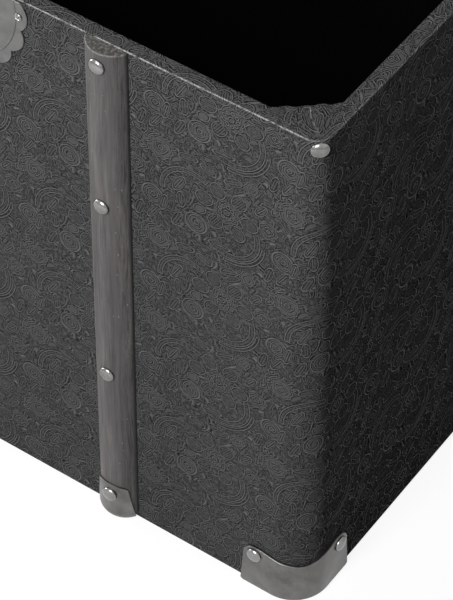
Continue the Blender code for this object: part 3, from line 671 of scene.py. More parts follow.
def wrapped_body():
    rim, lip, inner = BODY_HEIGHT, BODY_HEIGHT - LIP, WALL - CLOTH
    path = [(UNDER_FOLD, 0.0), *crease(CREASE, CREASE, 270, 180, 4), (0.0, 0.09), (0.0, 0.18), (0.0, 0.27)]
    path += crease(CREASE, rim - CREASE, 180, 90) + crease(WALL - CREASE, rim - CREASE, 90, 0)
    path += [(WALL, lip), (inner, lip), (inner, rim - CLOTH), (CLOTH, rim - CLOTH)]
    path += [(CLOTH, CLOTH), (UNDER_FOLD, CLOTH)]
    lengths = lengths_along(path, closed=True)
    start = lengths[6] - 0.09
    return to_mesh("body_leathercloth", cloth_skin(path, [v - start for v in lengths], loop=True))


def wrapped_lid():
    low, top, lip, inner = LID_BOTTOM, LID_TOP, LID_BOTTOM + LIP, WALL - CLOTH
    path = crease(CREASE, top - CREASE, 90, 180) + [(0.0, low + 0.045)]
    path += crease(CREASE, low + CREASE, 180, 270) + crease(WALL - CREASE, low + CREASE, 270, 360)
    path += [(WALL, lip), (inner, lip), (inner, low + CLOTH), (CLOTH, low + CLOTH), (CLOTH, top - CLOTH)]
    bm = cloth_skin(path, [0.45 - v for v in lengths_along(path)], caps=False)
    uv = bm.loops.layers.uv["cloth"]
    bm.verts.ensure_lookup_table()
    count = 4 * (ROUND_STEPS + 1)
    for row in (bm.verts[:count], bm.verts[-count:]):
        for loop in bm.faces.new(row).loops:
            loop[uv].uv = loop.vert.co.xy
    return to_mesh("lid_leathercloth", bm)


finished("body_leathercloth", wrapped_body(), "leathercloth", "trunk_body", "body_cover")
finished("lid_leathercloth", wrapped_lid(), "leathercloth", "lid", "lid_cover")
print("cloth repeats:", round(2 * (FRONT_LONG + SIDE_LONG) / 0.079, 1), "round the trunk")

# %% [markdown]
# ## Corner blocks in the mouth
# A triangular block fills each corner level with the rim. The cloth of two walls meets over it in a
# mitre, one sheet lapped over the other, and it is pulled down over a slightly wavy long edge.

# %% Sizes of a corner block
BLOCK_WIDTH, BLOCK_DEPTH, BLOCK_HEIGHT, BLOCK_START = 0.0255, 0.0215, 0.022, 0.0042
BLOCK_STEPS = 12
SECTIONS = ((0.0, 0.0), (0.18, 0.9), (0.35, 1.0), (0.52, 0.9), (0.7, 0.8), (0.85, 0.8), (0.94, 0.7))


# %% Cover the corner blocks
def block_cloth(sx, sy):
    """The cloth over one block: two flaps that meet in a mitre, each with its fold down inside."""
    inner = Vector((HALF_LENGTH - WALL, HALF_DEPTH - WALL))
    start = Vector((HALF_LENGTH - BLOCK_START, HALF_DEPTH - BLOCK_START))
    ends = (inner - Vector((BLOCK_WIDTH, 0)), inner - Vector((0, BLOCK_DEPTH)))
    middle = (ends[0] + ends[1]) / 2
    foot = BODY_HEIGHT - BLOCK_HEIGHT
    bm = bmesh.new()
    for flap, end in enumerate(ends):
        far = Vector((start.x, end.y)) if flap else Vector((end.x, start.y))
        rings = []
        for k in range(BLOCK_STEPS + 1):
            share = k / BLOCK_STEPS
            wave = 0.00045 * math.sin(9.4 * share + 2 * flap + sx + 2 * sy) * math.sin(math.pi * share)
            outer, edge = start.lerp(far, share), middle.lerp(end, share) + Vector((wave, wave))
            lift = 0.00012 + 0.00020 * flap + 0.0001 * math.sin(5.0 * k / BLOCK_STEPS + flap)
            ring = []
            for out, rise in SECTIONS:
                x, y = outer.lerp(edge, out)
                wave = 0 if k else 0.0007 * math.sin(9.0 * out)
                ring.append((x + wave, y - wave, BODY_HEIGHT + rise * lift))
            back, low = edge.lerp(outer, 0.06), BODY_HEIGHT - 0.0006
            ring += [(*edge, low), (*edge, foot), (*back, foot), (*back, low - 0.0006), (*outer, low)]
            rings.append([(sx * px, sy * py, pz) for px, py, pz in ring])
        around = lengths_along(rings[BLOCK_STEPS // 2], closed=True)
        along = [SEAM_AT * flap + 0.7 * (1 - flap) + 0.002 * k for k in range(BLOCK_STEPS + 1)]
        skin(bm, rings, "cloth", [a + 0.3 * (sx > 0) for a in around], along)
    return to_mesh("block_cloth", bm)


for corner, (sx, sy) in CORNERS.items():
    cloth = block_cloth(sx, sy)
    finished(f"block_cloth_{corner}", cloth, "leathercloth", "trunk_body", f"corner_block_{corner}")

# %% [markdown]
# ## Half-round slats
# A slat is the cap of a circle, 26 mm wide and 8.7 mm high. Its foot is rounded over, and on the lid the
# front slat and the top slat meet in a mitre.

# %% Sizes of a slat
SLAT_RADIUS = ((SLAT_WIDTH / 2) ** 2 + SLAT_HEIGHT**2) / (2 * SLAT_HEIGHT)
SLAT_CENTRE = SLAT_RADIUS - SLAT_HEIGHT
END_RADIUS, SEAT = 0.006, 0.0002
print("slat circle radius", round(SLAT_RADIUS * 1000, 2), "mm")


# %% Shape the slats
def half_round(radius, height, mitre=0):
    """A ring of a slat; in a mitre it stands higher where it is prouder."""
    ring = []
    for angle in span(math.acos((SLAT_CENTRE + SEAT) / radius), 26):
        proud = radius * math.cos(angle) - SLAT_CENTRE
        ring.append((radius * math.sin(angle), -proud, height + mitre * proud))
    return ring


def end_fillet(offset):
    return arc((SLAT_RADIUS - END_RADIUS, END_RADIUS), END_RADIUS + offset, 0, -90, 10)


def slat(length, rounded_foot, mitred_top):
    foot = end_fillet(0)[::-1] if rounded_foot else [(SLAT_RADIUS - 0.0004, 0.0), (SLAT_RADIUS, 0.0004)]
    foot += [(SLAT_RADIUS, length * 0.33), (SLAT_RADIUS, length * 0.66)]
    rings = [half_round(radius, height) for radius, height in foot]
    if mitred_top:
        rings.append(half_round(SLAT_RADIUS, length - 0.0001, 1))
    else:
        rings += [half_round(SLAT_RADIUS, length - 0.0005), half_round(SLAT_RADIUS - 0.0005, length)]
    return loft("slat", rings, [ring[0][2] for ring in rings], -3)


def moved_grain(mesh, *shift):
    """A copy whose grain starts elsewhere, so that no two slats look alike."""
    mesh = mesh.copy()
    for item in mesh.uv_layers["grain"].data:
        item.uv += Vector(shift)
    return mesh


def on_front(x, height):
    return stand((x, -HALF_DEPTH, height), FRONT, UP)


def on_top(x):
    return stand((x, HALF_DEPTH, LID_TOP), UP, FRONT)


front, lid_front = slat(BODY_HEIGHT, True, False), slat(LID_HEIGHT, False, True)
lid_top = slat(DEPTH, True, True)
for side, sign in SIDES.items():
    for name, mesh, body, start, place in (
        ("body_slat", front, "trunk_body", 0, on_front(sign * SLAT_X, 0)),
        ("lid_front_slat", lid_front, "lid", 0.4, on_front(sign * SLAT_X, LID_BOTTOM)),
        ("lid_top_slat", lid_top, "lid", 0.8, on_top(sign * SLAT_X)),
    ):
        mesh = moved_grain(mesh, 0.3 * sign, start)
        finished(f"wood_{name}_{side}", mesh, "slat_wood", body, f"{name}_{side}", place=place)

# %% [markdown]
# ## Metal caps on the slats
# A slat's foot wears a cap of thin sheet that follows its crown, turns round the end and goes under the
# edge of the trunk. It is made as two grids of points, inside and outside, joined round their border.

# %% Sizes of a slat cap
SHEET = 0.0009
CAP_SPAN, TOE_SPAN = math.radians(42), math.radians(62)
CAP_UP, CAP_CROWN, TOE_REACH = 0.0304, 0.0029, 0.005


# %% Press the slat caps
def sheet_piece(name, rows_at):
    """A bent sheet between its two faces, each a list of rows of points."""
    inside, outside = rows_at(SEAT), rows_at(SEAT + SHEET)
    rings = [outer + inner[::-1] for inner, outer in zip(inside, outside)]
    middle = len(inside[0]) // 2
    return softened(loft(name, rings, lengths_along([row[middle] for row in outside])), 0.00022)


def cap_row(angles, radius, height):
    """Points on a circle round the slat; the height may differ from angle to angle."""
    heights = height if isinstance(height, list) else [height] * len(angles)
    return [(radius * math.sin(a), SLAT_CENTRE - radius * math.cos(a), z) for a, z in zip(angles, heights)]


def cap_limit(height):
    """How far round the slat the cap reaches: it flares towards the slat's end."""
    return CAP_SPAN + (TOE_SPAN - CAP_SPAN) * (1 - max(height, 0) / CAP_UP) ** 1.4


CROWN = [CAP_UP - CAP_CROWN * (angle / CAP_SPAN) ** 2 for angle in span(CAP_SPAN)]


def end_cap(offset):
    rows = [cap_row(span(CAP_SPAN), SLAT_RADIUS + offset, CROWN)]
    places = [(SLAT_RADIUS + offset, share * CAP_UP) for share in (0.75, 0.6, 0.48, 0.37, 0.28)]
    rows += [cap_row(span(cap_limit(z)), radius, z) for radius, z in places + end_fillet(offset)]
    return rows + [cap_row(span(TOE_SPAN), SLAT_RADIUS - END_RADIUS - TOE_REACH, -offset)]


def bend_cap(offset):
    """It lies on two slats that meet in a mitre, so its second half is the first one turned over."""
    crowned = cap_row(span(CAP_SPAN), SLAT_RADIUS + offset, CROWN)
    rows = [[(x, y, -z) for x, y, z in crowned]]
    for back, low in ((0.0002, 0.0022), (0.0005, 0.0005), (0.0022, 0.0002)):
        rows.append([(x, y + back, -y - low) for x, y, _ in crowned])
    return rows + [[(x, z, -y) for x, y, z in crowned]]


cap_mesh, bend_mesh = sheet_piece("end_cap", end_cap), sheet_piece("bend_cap", bend_cap)
for side, sign in SIDES.items():
    for name, node, mesh, body, place in (
        ("foot_cap", "slat_foot", cap_mesh, "trunk_body", on_front(sign * SLAT_X, 0)),
        ("tail_cap", "slat_tail", cap_mesh, "lid", on_top(sign * SLAT_X)),
        ("bend_cap", "slat_bend", bend_mesh, "lid", on_front(sign * SLAT_X, LID_TOP)),
    ):
        finished(f"{name}_{side}", mesh, "gunmetal", body, f"{node}_{side}", place=place)

# %% [markdown]
# ## Pressed corner caps
# Each corner wears one pressed cap. It is cut from a hollow block with rounded folds: the outline of its
# faces and of its underside are prisms, and the cap is what all of them share.

# %% Sizes of a corner cap
CAP_METAL, CAP_DROP, CAP_LEG, CAP_LEAN, CAP_HEIGHT = 0.0016, 0.0028, 0.0415, 0.0018, 0.0323
CAP_ROUND, CAP_FOLD, CAP_TOE, CAP_SEAT = 0.0075, 0.0025, 0.014, 0.0002
DIP_HEIGHT, DIP_FLAT, DIP_WIDTH = 0.0283, 0.0065, 0.0295


# %% Press the corner caps
def cap_block(outset, drop, fold, rise):
    far, rings = 2 * CAP_LEG, []
    levels = arc((outset - fold, fold - drop), fold, -90, 0, 6) + [(outset, 2 * CAP_HEIGHT)]
    for out, height in levels:
        radius = CAPPED_RADIUS - (CAPPED_RADIUS - RIM_RADIUS) * height / rise
        plan = [(-far, far), (-far, -out), *arc((-radius, radius), radius + out, -90, 0, 18), (out, far)]
        rings.append([(x, y, height) for x, y in plan])
    return loft("cap_block", rings, [height for _, height in levels], -1)


def corner_cap(rise):
    """The cap for a corner of the body or the lid, which is that high."""
    shoulder = arc((CAP_LEG - CAP_LEAN - CAP_ROUND, CAP_HEIGHT - CAP_ROUND), CAP_ROUND, 0, 90, 10)
    low, high, near, reach = -2 * CAP_DROP, 2 * CAP_HEIGHT, CAP_ROUND, 3 * CAP_LEG
    face = [(CAP_LEG + low, low), (CAP_LEG, 0), *shoulder, (-near, CAP_HEIGHT), (-near, low)]
    far = DIP_FLAT + (high - DIP_HEIGHT) * (DIP_WIDTH - DIP_FLAT) / (CAP_HEIGHT - DIP_HEIGHT)
    dip = [(DIP_FLAT, DIP_HEIGHT), (far, high), (-near, high), (-near, DIP_HEIGHT)]
    middle, beyond = (CAP_TOE + CAP_LEG) / 3, CAP_LEG + near
    toe = [(near, -near), (-beyond, -near), (-beyond, CAP_TOE), (-middle, middle)]
    toe += [(-CAP_TOE, beyond), (near, beyond)]
    cap = shaped(
        "corner_cap",
        cap_block(CAP_SEAT + CAP_METAL, CAP_DROP, CAP_FOLD, rise),
        ("DIFFERENCE", cap_block(CAP_SEAT, CAP_DROP - CAP_METAL, CAP_FOLD - CAP_METAL, rise)),
        ("INTERSECT", prism("front", [(-x, z) for x, z in face], -reach, reach, "Y")),
        ("INTERSECT", prism("side", face, -reach, reach, "X")),
        ("INTERSECT", prism("under", toe, -reach, reach, "Z")),
        ("DIFFERENCE", prism("front_dip", [(-x, z) for x, z in dip], -reach, DIP_FLAT, "Y")),
        ("DIFFERENCE", prism("side_dip", dip, -DIP_FLAT, reach, "X")),
    )
    return softened(cap, 0.0004, 3)


low_cap, high_cap = corner_cap(BODY_HEIGHT), corner_cap(LID_HEIGHT)
turned_over = Matrix.Rotation(math.pi, 4, "X")
for quarter, (corner, (sx, sy)) in enumerate(CORNERS.items()):
    for name, node, cap, body, height, turns, over in (
        ("pressed_cap", "corner_cap", low_cap, "trunk_body", 0, quarter, Matrix()),
        ("lid_pressed_cap", "lid_cap", high_cap, "lid", LID_TOP, quarter - 1, turned_over),
    ):
        turn = Matrix.Rotation(math.pi / 2 * turns, 4, "Z") @ over
        place = MOVED((sx * HALF_LENGTH, sy * HALF_DEPTH, height)) @ turn
        finished(f"{name}_{corner}", cap, "gunmetal", body, f"{node}_{corner}", place=place)

# %% [markdown]
# ## The lock: scalloped plate, hasp and turn knob
# The round plate has sixteen lobes and is cut in two where the rim passes it. The hasp hangs from a pin
# between two lugs on the lid's half. Shut, its slot goes over the turn knob on the body's half.

# %% Sizes of the lock
PLATE_METAL, PLATE_DROP, PLATE_SEAT = 0.0011, 0.0100, 0.0003
PLATE_FACE, PLATE_CENTRE = -HALF_DEPTH - PLATE_SEAT - PLATE_METAL, BODY_HEIGHT - PLATE_DROP
LOBES, LOBE_REACH, LOBE_CUSP, GROOVE_REACH = 16, 0.0497, 0.0463, 0.0430
HASP_AXIS = Vector((0, PLATE_FACE - 0.0032, LID_BOTTOM + 0.022))
HASP_ROUND, HASP_HALF, HASP_WIDE, HASP_LONG, PIN_BORE = 0.0026, 0.007, 0.012, 0.0525, 0.0014
HASP_THICK, HASP_NECK, HASP_SHOULDER, SLOT_HALF, SLOT_ROUND = 0.0016, 0.0038, 0.0076, 0.004, 0.0045
LUG_NEAR, LUG_FAR, HALVES_GAP, PLATE_EDGE = 0.0073, 0.0118, 0.0004, 0.0003
KNOB_HEIGHT, WING_AT = BODY_HEIGHT - 0.0140, 0.0048
WING_HALF, WING_ROUND, WING_THICK, POST_RADIUS = 0.0042, 0.0028, 0.0042, 0.0026


# %% Stamp the lock plate
def scallops(inset):
    half = math.pi / LOBES
    cusp = Vector((LOBE_CUSP * math.cos(half), LOBE_CUSP * math.sin(half)))
    middle = (LOBE_REACH**2 - cusp.length_squared) / (2 * (LOBE_REACH - cusp.x))
    swing = math.degrees(math.atan2(cusp.y, cusp.x - middle))
    turns = [Matrix.Rotation(2 * half * lobe, 2) for lobe in range(LOBES)]
    edge = arc((middle, 0), LOBE_REACH - middle - inset, -swing, swing, 12)[:-1]
    return [turn @ Vector(point) for turn in turns for point in edge]


def half_plate(name, low, high, *steps):
    """The part of the round plate between two heights, with further steps done to it."""
    levels = ((0.0, PLATE_FACE + PLATE_METAL), (0.0, PLATE_FACE + PLATE_EDGE), (PLATE_EDGE, PLATE_FACE))
    bm = bmesh.new()
    rings = [[(x, y, z + PLATE_CENTRE) for x, z in scallops(inset)] for inset, y in levels]
    skin(bm, rings, "grain", lengths_along(rings[0], True), (0, 0, 0))
    for face in bm.faces:
        for loop in face.loops:
            loop[bm.loops.layers.uv["grain"]].uv = (loop.vert.co.x, loop.vert.co.z - PLATE_CENTRE)
    keep = [(-LENGTH, low), (LENGTH, low), (LENGTH, high), (-LENGTH, high)]
    return shaped(name, to_mesh(name, bm), ("INTERSECT", prism("keep", keep, -DEPTH, 0, "Y")), *steps)


def engraved_metal():
    """Gunmetal with a thin ring cut near the scallops."""
    finish = Finish("engraved_gunmetal", Metallic=1.0)
    x, z = finish.uv("grain")
    place = finish.vector(x, z)
    groove = line(finish.length(x, z) - GROOVE_REACH, 0.00030)
    cloudy, specks = finish.noise(place, 90, 4.0, 0.6), finish.noise(place, 1300, 3.0, 0.6)
    tone = cloudy * 0.7 + specks * 0.3
    metal = finish.colours(tone, (0.28, (0.100, 0.100, 0.097)), (0.78, (0.203, 0.202, 0.197)))
    colour = finish.blend(groove * 0.75, metal, (0.03, 0.03, 0.03))
    return finish.done(colour, cloudy * 0.16 + specks * 0.08 + 0.28, specks * 0.1 - groove, 0.00025)


lug = [(PLATE_FACE + 0.0005, HASP_AXIS.z - HASP_ROUND), (PLATE_FACE + 0.0005, HASP_AXIS.z + HASP_ROUND)]
lug += arc((HASP_AXIS.y, HASP_AXIS.z), HASP_ROUND, 90, 270, 14)
pin_hole = ("DIFFERENCE", rod("bore", HASP_AXIS.yz, PIN_BORE, -0.02, 0.02, "X", 20))
lid_steps = *both("lug", lug, LUG_NEAR, LUG_FAR), pin_hole
engraved = engraved_metal()
for part, body, low, high, steps in (
    ("body", "trunk_body", 0, BODY_HEIGHT - HALVES_GAP, ()),
    ("lid", "lid", LID_BOTTOM + HALVES_GAP, LID_TOP, lid_steps),
):
    plate = half_plate(f"{part}_plate", low, high, *steps)
    plate = finished(f"stamped_plate_{part}", plate, "gunmetal", body, f"lock_plate_{part}")
    plate.data.materials[0] = engraved


# %% Cut the hasp and turn the knob
def capsule(low, high, radius):
    """The outline of an upright slot with round ends."""
    return arc((0, high), radius, 0, 180, 14) + arc((0, low), radius, 180, 360, 14)


def hasp():
    x, y, z = HASP_AXIS
    tip = arc((0, z - HASP_LONG + HASP_WIDE), HASP_WIDE, 0, -180, 24)
    shoulder = [(HASP_HALF, z), (HASP_HALF, z - HASP_NECK), (HASP_WIDE, z - HASP_SHOULDER)]
    outline = [(-HASP_HALF, z), *shoulder, *tip, *[(-x, z) for x, z in shoulder[:0:-1]]]
    slot = capsule(KNOB_HEIGHT - SLOT_HALF, KNOB_HEIGHT + SLOT_HALF, SLOT_ROUND)
    strap = shaped(
        "hasp",
        prism("strap", outline, y - HASP_THICK / 2, y + HASP_THICK / 2, "Y"),
        ("UNION", rod("knuckle", HASP_AXIS.yz, HASP_ROUND, -HASP_HALF, HASP_HALF, "X")),
        ("DIFFERENCE", prism("slot", slot, y - 0.02, y + 0.02, "Y")),
        pin_hole,
    )
    return softened(strap, 0.00025)


def turned_knob():
    outline = capsule(-WING_HALF, WING_HALF, WING_ROUND)
    wing = prism("wing", outline, -WING_AT - WING_THICK, -WING_AT, "Y")
    post = rod("post", (0, 0), POST_RADIUS, -WING_AT - WING_THICK / 2, 0, "Y")
    return softened(shaped("knob", wing, ("UNION", post)), 0.0008, 3)


def turned_collar():
    profile = [(0.0029, 0.0), (0.0040, 0.0), (0.0040, -0.0009), (0.0036, -0.0014), (0.0029, -0.0015)]
    rings = [[(x, depth, z) for x, z in circle((0, 0), radius, 32)] for radius, depth in profile]
    return loft("collar", rings, lengths_along(profile, True), loop=True)


on_plate = MOVED((0, PLATE_FACE, KNOB_HEIGHT))
folded_back = MOVED(HASP_AXIS) @ turned_over @ MOVED(-HASP_AXIS)
finished("hasp_strap", hasp(), "gunmetal", "hasp", "hasp", place=folded_back)
finished("turned_knob", turned_knob(), "nickel", "turn_knob", "turn_knob", place=on_plate)
finished("turned_collar", turned_collar(), "nickel", "trunk_body", "knob_collar", place=on_plate)

# %% [markdown]
# ## Stop hinges and drop handles
# The body's hinge leaf has two cheeks that stand out behind. The lid's leaf lies down on them when the
# lid is upright, and that is what stops it. A handle is a plate with two eyes and a bent rod.

# %% Sizes of a hinge
KNUCKLE, LEAF_METAL, LEAF_HALF, LEAF_HEIGHT, KNUCKLE_GAP = 0.0030, 0.0015, 0.022, 0.030, 0.0004
LEAF_ROUND, HINGE_X, END_ROOM, LID_KNUCKLE, BODY_KNUCKLE = 0.006, 0.125, 0.0023, 0.006, 0.0063
CHEEK_METAL, CHEEK_FOOT, CHEEK_TOP, CHEEK_OUT, CHEEK_CUT = 0.002, 0.020, 0.0012, 0.013, 0.001
PIN_RADIUS, PIN_HALF, KNUCKLE_BORE = 0.0015, 0.0197, 0.0017


# %% Bend the hinge leaves
def hinge_leaf(on_lid):
    up, clear = (1 if on_lid else -1), KNUCKLE + KNUCKLE_GAP
    back, face, outer = -KNUCKLE, LEAF_METAL - KNUCKLE, LEAF_HALF - END_ROOM
    round_at = (LEAF_HALF - LEAF_ROUND, up * (clear + LEAF_HEIGHT - LEAF_ROUND))
    outline = [(LEAF_HALF, up * clear), *arc(round_at, LEAF_ROUND, 0, 90 * up, 8)]
    outline += [(-x, z) for x, z in reversed(outline)]
    root = clear + 2 * LEAF_METAL
    curl = math.degrees(math.acos(face / KNUCKLE))
    knuckle = [(back, -root), (face, -root), *arc((0, 0), KNUCKLE, -curl, 180, 24)]
    knuckle = [(y, -up * z) for y, z in knuckle]
    if on_lid:
        steps = [("UNION", prism("knuckle", knuckle, -LID_KNUCKLE, LID_KNUCKLE, "X"))]
    else:
        cheek = [(back, -CHEEK_FOOT), (back, -clear), (back / 3, CHEEK_TOP)]
        cheek += [(CHEEK_OUT - CHEEK_CUT, CHEEK_TOP), (CHEEK_OUT, CHEEK_TOP - CHEEK_CUT)]
        cheek += [(CHEEK_OUT, -LEAF_METAL), (face, -CHEEK_FOOT)]
        steps = both("knuckle", knuckle, BODY_KNUCKLE, outer)
        steps += both("cheek", cheek, LEAF_HALF - CHEEK_METAL, LEAF_HALF)
    bore = rod("bore", (0, 0), KNUCKLE_BORE, -outer - 0.0001, outer + 0.0001, "X", 24)
    steps.append(("DIFFERENCE", bore))
    return softened(shaped("hinge_leaf", prism("leaf", outline, back, face, "Y"), *steps), 0.00025)


body_leaf, lid_leaf = hinge_leaf(False), hinge_leaf(True)
pin = softened(rod("pin", (0, 0), PIN_RADIUS, -PIN_HALF, PIN_HALF, "X"), 0.0003)
for side, sign in SIDES.items():
    for name, node, mesh, slot, body in (
        ("bent_leaf_body", "hinge_leaf_body", body_leaf, "gunmetal", "trunk_body"),
        ("bent_leaf_lid", "hinge_leaf_lid", lid_leaf, "gunmetal", "lid"),
        ("rolled_pin", "hinge_pin", pin, "nickel", "trunk_body"),
    ):
        place = MOVED(HINGE + Vector((HINGE_X * sign, 0, 0)))
        finished(f"{name}_{side}", mesh, slot, body, f"{node}_{side}", place=place)

# %% Sizes of a handle
HANDLE_UP, PLATE_LONG, PLATE_HIGH, EYE_AT, EYE_ROUND = 0.235, 0.114, 0.028, 0.040, 0.0053
BAIL_AXIS, BAIL_RADIUS, BAIL_DROP, BAIL_SWELL, HANDLE_FACE = 0.0061, 0.0028, 0.036, 0.0002, 0.0015
EYE_HALF, EYE_BORE, EYE_ROOT = 0.003, 0.0031, 0.0008


# %% Make the handles
def handle_plate():
    end, straight = PLATE_HIGH / 2, PLATE_LONG / 2 - PLATE_HIGH / 2
    levels, rings = ((0, HANDLE_FACE - 0.0001), (0, 0.0004), (0.0004, 0), (0.0022, 0), (0.0028, 0.0003)), []
    for inset, drop in levels:
        radius = end - inset
        outline = arc((straight, 0), radius, -90, 90, 24) + arc((-straight, 0), radius, 90, 270, 24)
        rings.append([(HANDLE_FACE - drop, y, z) for y, z in outline])
    eye = [(EYE_ROOT, EYE_ROUND), (EYE_ROOT, -EYE_ROUND), *arc((BAIL_AXIS, 0), EYE_ROUND, -90, 90, 20)]
    steps = [("UNION", prism("eye", eye, y - EYE_HALF, y + EYE_HALF, "Y")) for y in (-EYE_AT, EYE_AT)]
    steps.append(("DIFFERENCE", rod("bore", (BAIL_AXIS, 0), EYE_BORE, -PLATE_LONG, PLATE_LONG, "Y")))
    plate = loft("plate", rings, (0, 0.001, 0.0015, 0.003, 0.004))
    return softened(shaped("handle_plate", plate, *steps), 0.0004)


def bail():
    """A bent rod that is a little thicker where the hand holds it."""
    half = [(0.0356, 0.0), (0.0395, 0.0), *arc((0.0434, -0.0056), 0.0056, 90, 0, 8), (0.049, -0.015)]
    half += [(0.049, -0.022), *arc((0.039, 0.010 - BAIL_DROP), 0.010, 0, -90, 10)]
    half += [(0.026, -BAIL_DROP), (0.013, -BAIL_DROP)]
    route = [(-y, z) for y, z in half] + [(0.0, -BAIL_DROP)] + half[::-1]
    outward, rings = Vector((1, 0, 0)), []
    for k, (y, z) in enumerate(route):
        before, after = route[max(k - 1, 0)], route[min(k + 1, len(route) - 1)]
        side = Vector((0, after[0] - before[0], after[1] - before[1])).normalized().cross(outward)
        radius = BAIL_RADIUS if z > 0.0005 - BAIL_DROP or abs(y) > 0.03 else BAIL_RADIUS + BAIL_SWELL
        turns = [(math.cos(a), math.sin(a)) for a in (2 * math.pi * s / 20 for s in range(20))]
        rings.append([Vector((0, y, z)) + radius * (c * outward + s * side) for c, s in turns])
    return loft("bail", rings, lengths_along(route))


plate_mesh, bail_mesh = handle_plate(), bail()
for side, sign in SIDES.items():
    for name, node, mesh, body, out in (
        ("stamped_handle_plate", "handle_plate", plate_mesh, "trunk_body", 0),
        ("bent_bail", "handle_bail", bail_mesh, f"handle_{side}", BAIL_AXIS),
    ):
        turn = Matrix.Rotation(0 if sign > 0 else math.pi, 4, "Z")
        place = MOVED((sign * (HALF_LENGTH + out), 0, HANDLE_UP)) @ turn
        finished(f"{name}_{side}", mesh, "gunmetal", body, f"{node}_{side}", place=place)

# %% [markdown]
# ## Domed nails and small screws
# The same head repeats dozens of times, which is work for Geometry Nodes: a mesh of single points carries
# where each head sits and which way it looks, and the tree puts one head on each point. The heads are
# built in the tree too, a nail from half a sphere and a screw from a low dome with a cross cut in it.


# %% A tree that sets heads on points
class Tree(Net):
    """A Geometry Nodes tree with its sizes as inputs."""

    def __init__(self, name, **sizes):
        super().__init__(bpy.data.node_groups.new(name, "GeometryNodeTree"))
        sockets, geometry = self.tree.interface, "NodeSocketGeometry"
        sockets.new_socket("Geometry", in_out="INPUT", socket_type=geometry)
        self.inputs = {}
        for size, value in sizes.items():
            kind = "NodeSocketInt" if isinstance(value, int) else "NodeSocketFloat"
            self.inputs[sockets.new_socket(size, in_out="INPUT", socket_type=kind).identifier] = value
        sockets.new_socket("Geometry", in_out="OUTPUT", socket_type=geometry)
        self.start = self.nodes.new("NodeGroupInput")

    def size(self, name):
        return Value(self, self.start.outputs[name])

    def dome(self, segments, rings):
        """Half a sphere on a low rim: what lies under the middle is pressed flat."""
        radius = self.size("Radius")
        sockets = {"Segments": segments, "Rings": rings, "Radius": radius}
        ball = self.node("GeometryNodeMeshUVSphere", None, sockets)
        x, y, z = self.parts(self.node("GeometryNodeInputPosition"))
        up = z * (self.size("Height") / radius) + self.size("Edge")
        moved = self.vector(x, y, up * z.maths("GREATER_THAN", -0.00001))
        return self.node("GeometryNodeSetPosition", None, {"Geometry": ball, "Position": moved})

    def set_heads(self, head, material):
        """Ends the tree: one head on each point, looking outward, a little turned and tilted."""
        vector = {"data_type": "FLOAT_VECTOR"}
        way = self.node("GeometryNodeInputNamedAttribute", vector, {"Name": "outward"})
        facing = self.node("FunctionNodeAlignRotationToVector", {"axis": "Z"}, {"Vector": way})
        lean, back = self.size("Lean"), self.size("Lean") * -1.0
        limits = {"Min": self.vector(back, back), "Max": self.vector(lean, lean, 3.0)}
        tilt = self.node("FunctionNodeRandomValue", vector, {**limits, "Seed": self.size("Seed")})
        turns = {0: facing, 1: self.node("FunctionNodeEulerToRotation", None, {0: tilt})}
        turned = self.node("FunctionNodeRotateRotation", {"rotation_space": "LOCAL"}, turns)
        sockets = {"Points": self.size("Geometry"), "Instance": head, "Rotation": turned}
        heads = self.node("GeometryNodeInstanceOnPoints", None, sockets)
        real = self.node("GeometryNodeRealizeInstances", None, {0: heads})
        smooth = self.node("GeometryNodeSetShadeSmooth", None, {0: real})
        ended = self.node("GeometryNodeSetMaterial", None, {"Geometry": smooth, "Material": material})
        self.links.new(ended.socket, self.nodes.new("NodeGroupOutput").inputs[0])

    def run(self, name, places):
        """The plain mesh that the tree makes of (spot, outward) places."""
        mesh = bpy.data.meshes.new(name)
        mesh.from_pydata([tuple(spot) for spot, _ in places], [], [])
        outward = mesh.attributes.new("outward", "FLOAT_VECTOR", "POINT")
        for item, (_, way) in zip(outward.data, places):
            item.vector = way
        return evaluated(name, mesh, ("NODES", {"node_group": self.tree}, self.inputs))


nail_tree = Tree("domed_nails", Radius=0.00475, Height=0.0023, Edge=0.0004, Lean=0.03, Seed=7)
nail_tree.set_heads(nail_tree.dome(32, 16), nickel)

screw_tree = Tree("small_screws", Radius=0.0023, Height=0.0007, Edge=0.0004, Lean=0.01, Seed=3)
CROSS_LONG, CROSS_WIDE, CROSS_HIGH, CROSS_AT = 0.0030, 0.0006, 0.0014, 0.00125
bars = []
for size in ((CROSS_LONG, CROSS_WIDE, CROSS_HIGH), (CROSS_WIDE, CROSS_LONG, CROSS_HIGH)):
    bar = {"Geometry": screw_tree.node("GeometryNodeMeshCube", None, {"Size": size})}
    bars.append(screw_tree.node("GeometryNodeTransform", None, {**bar, "Translation": (0, 0, CROSS_AT)}))
cut = {"Mesh 1": screw_tree.dome(20, 10), "Mesh 2": bars}
screw_tree.set_heads(screw_tree.node("GeometryNodeMeshBoolean", {"operation": "DIFFERENCE"}, cut), nickel)

# %% [markdown]
# ## Where the nails and screws go
# Nails hold the slats, their caps, the corner caps and the cloth at the rim's corners. Small screws hold
# the lock plate, the hinges and the handles.

# %% Sizes of the nails' and screws' places
CAP_NAIL, CAP_NAIL_IN, RIM_NAIL, STRAP_NAIL, SUNK = 0.0262, 0.0323, 0.006, 0.0218, 0.0001
SLAT_NAIL_DROPS, LID_FRONT_NAIL, LID_TOP_NAILS = (0.0088, 0.1053, 0.2335), 0.015, (0.12, 0.21, 0.30)
SCREW_RING, HINGE_SCREWS = 0.0445, ((-0.0130, 0.0100), (0.0130, 0.0100), (0.0, 0.0260))
HANDLE_SCREW = (0.024, 0.0075)


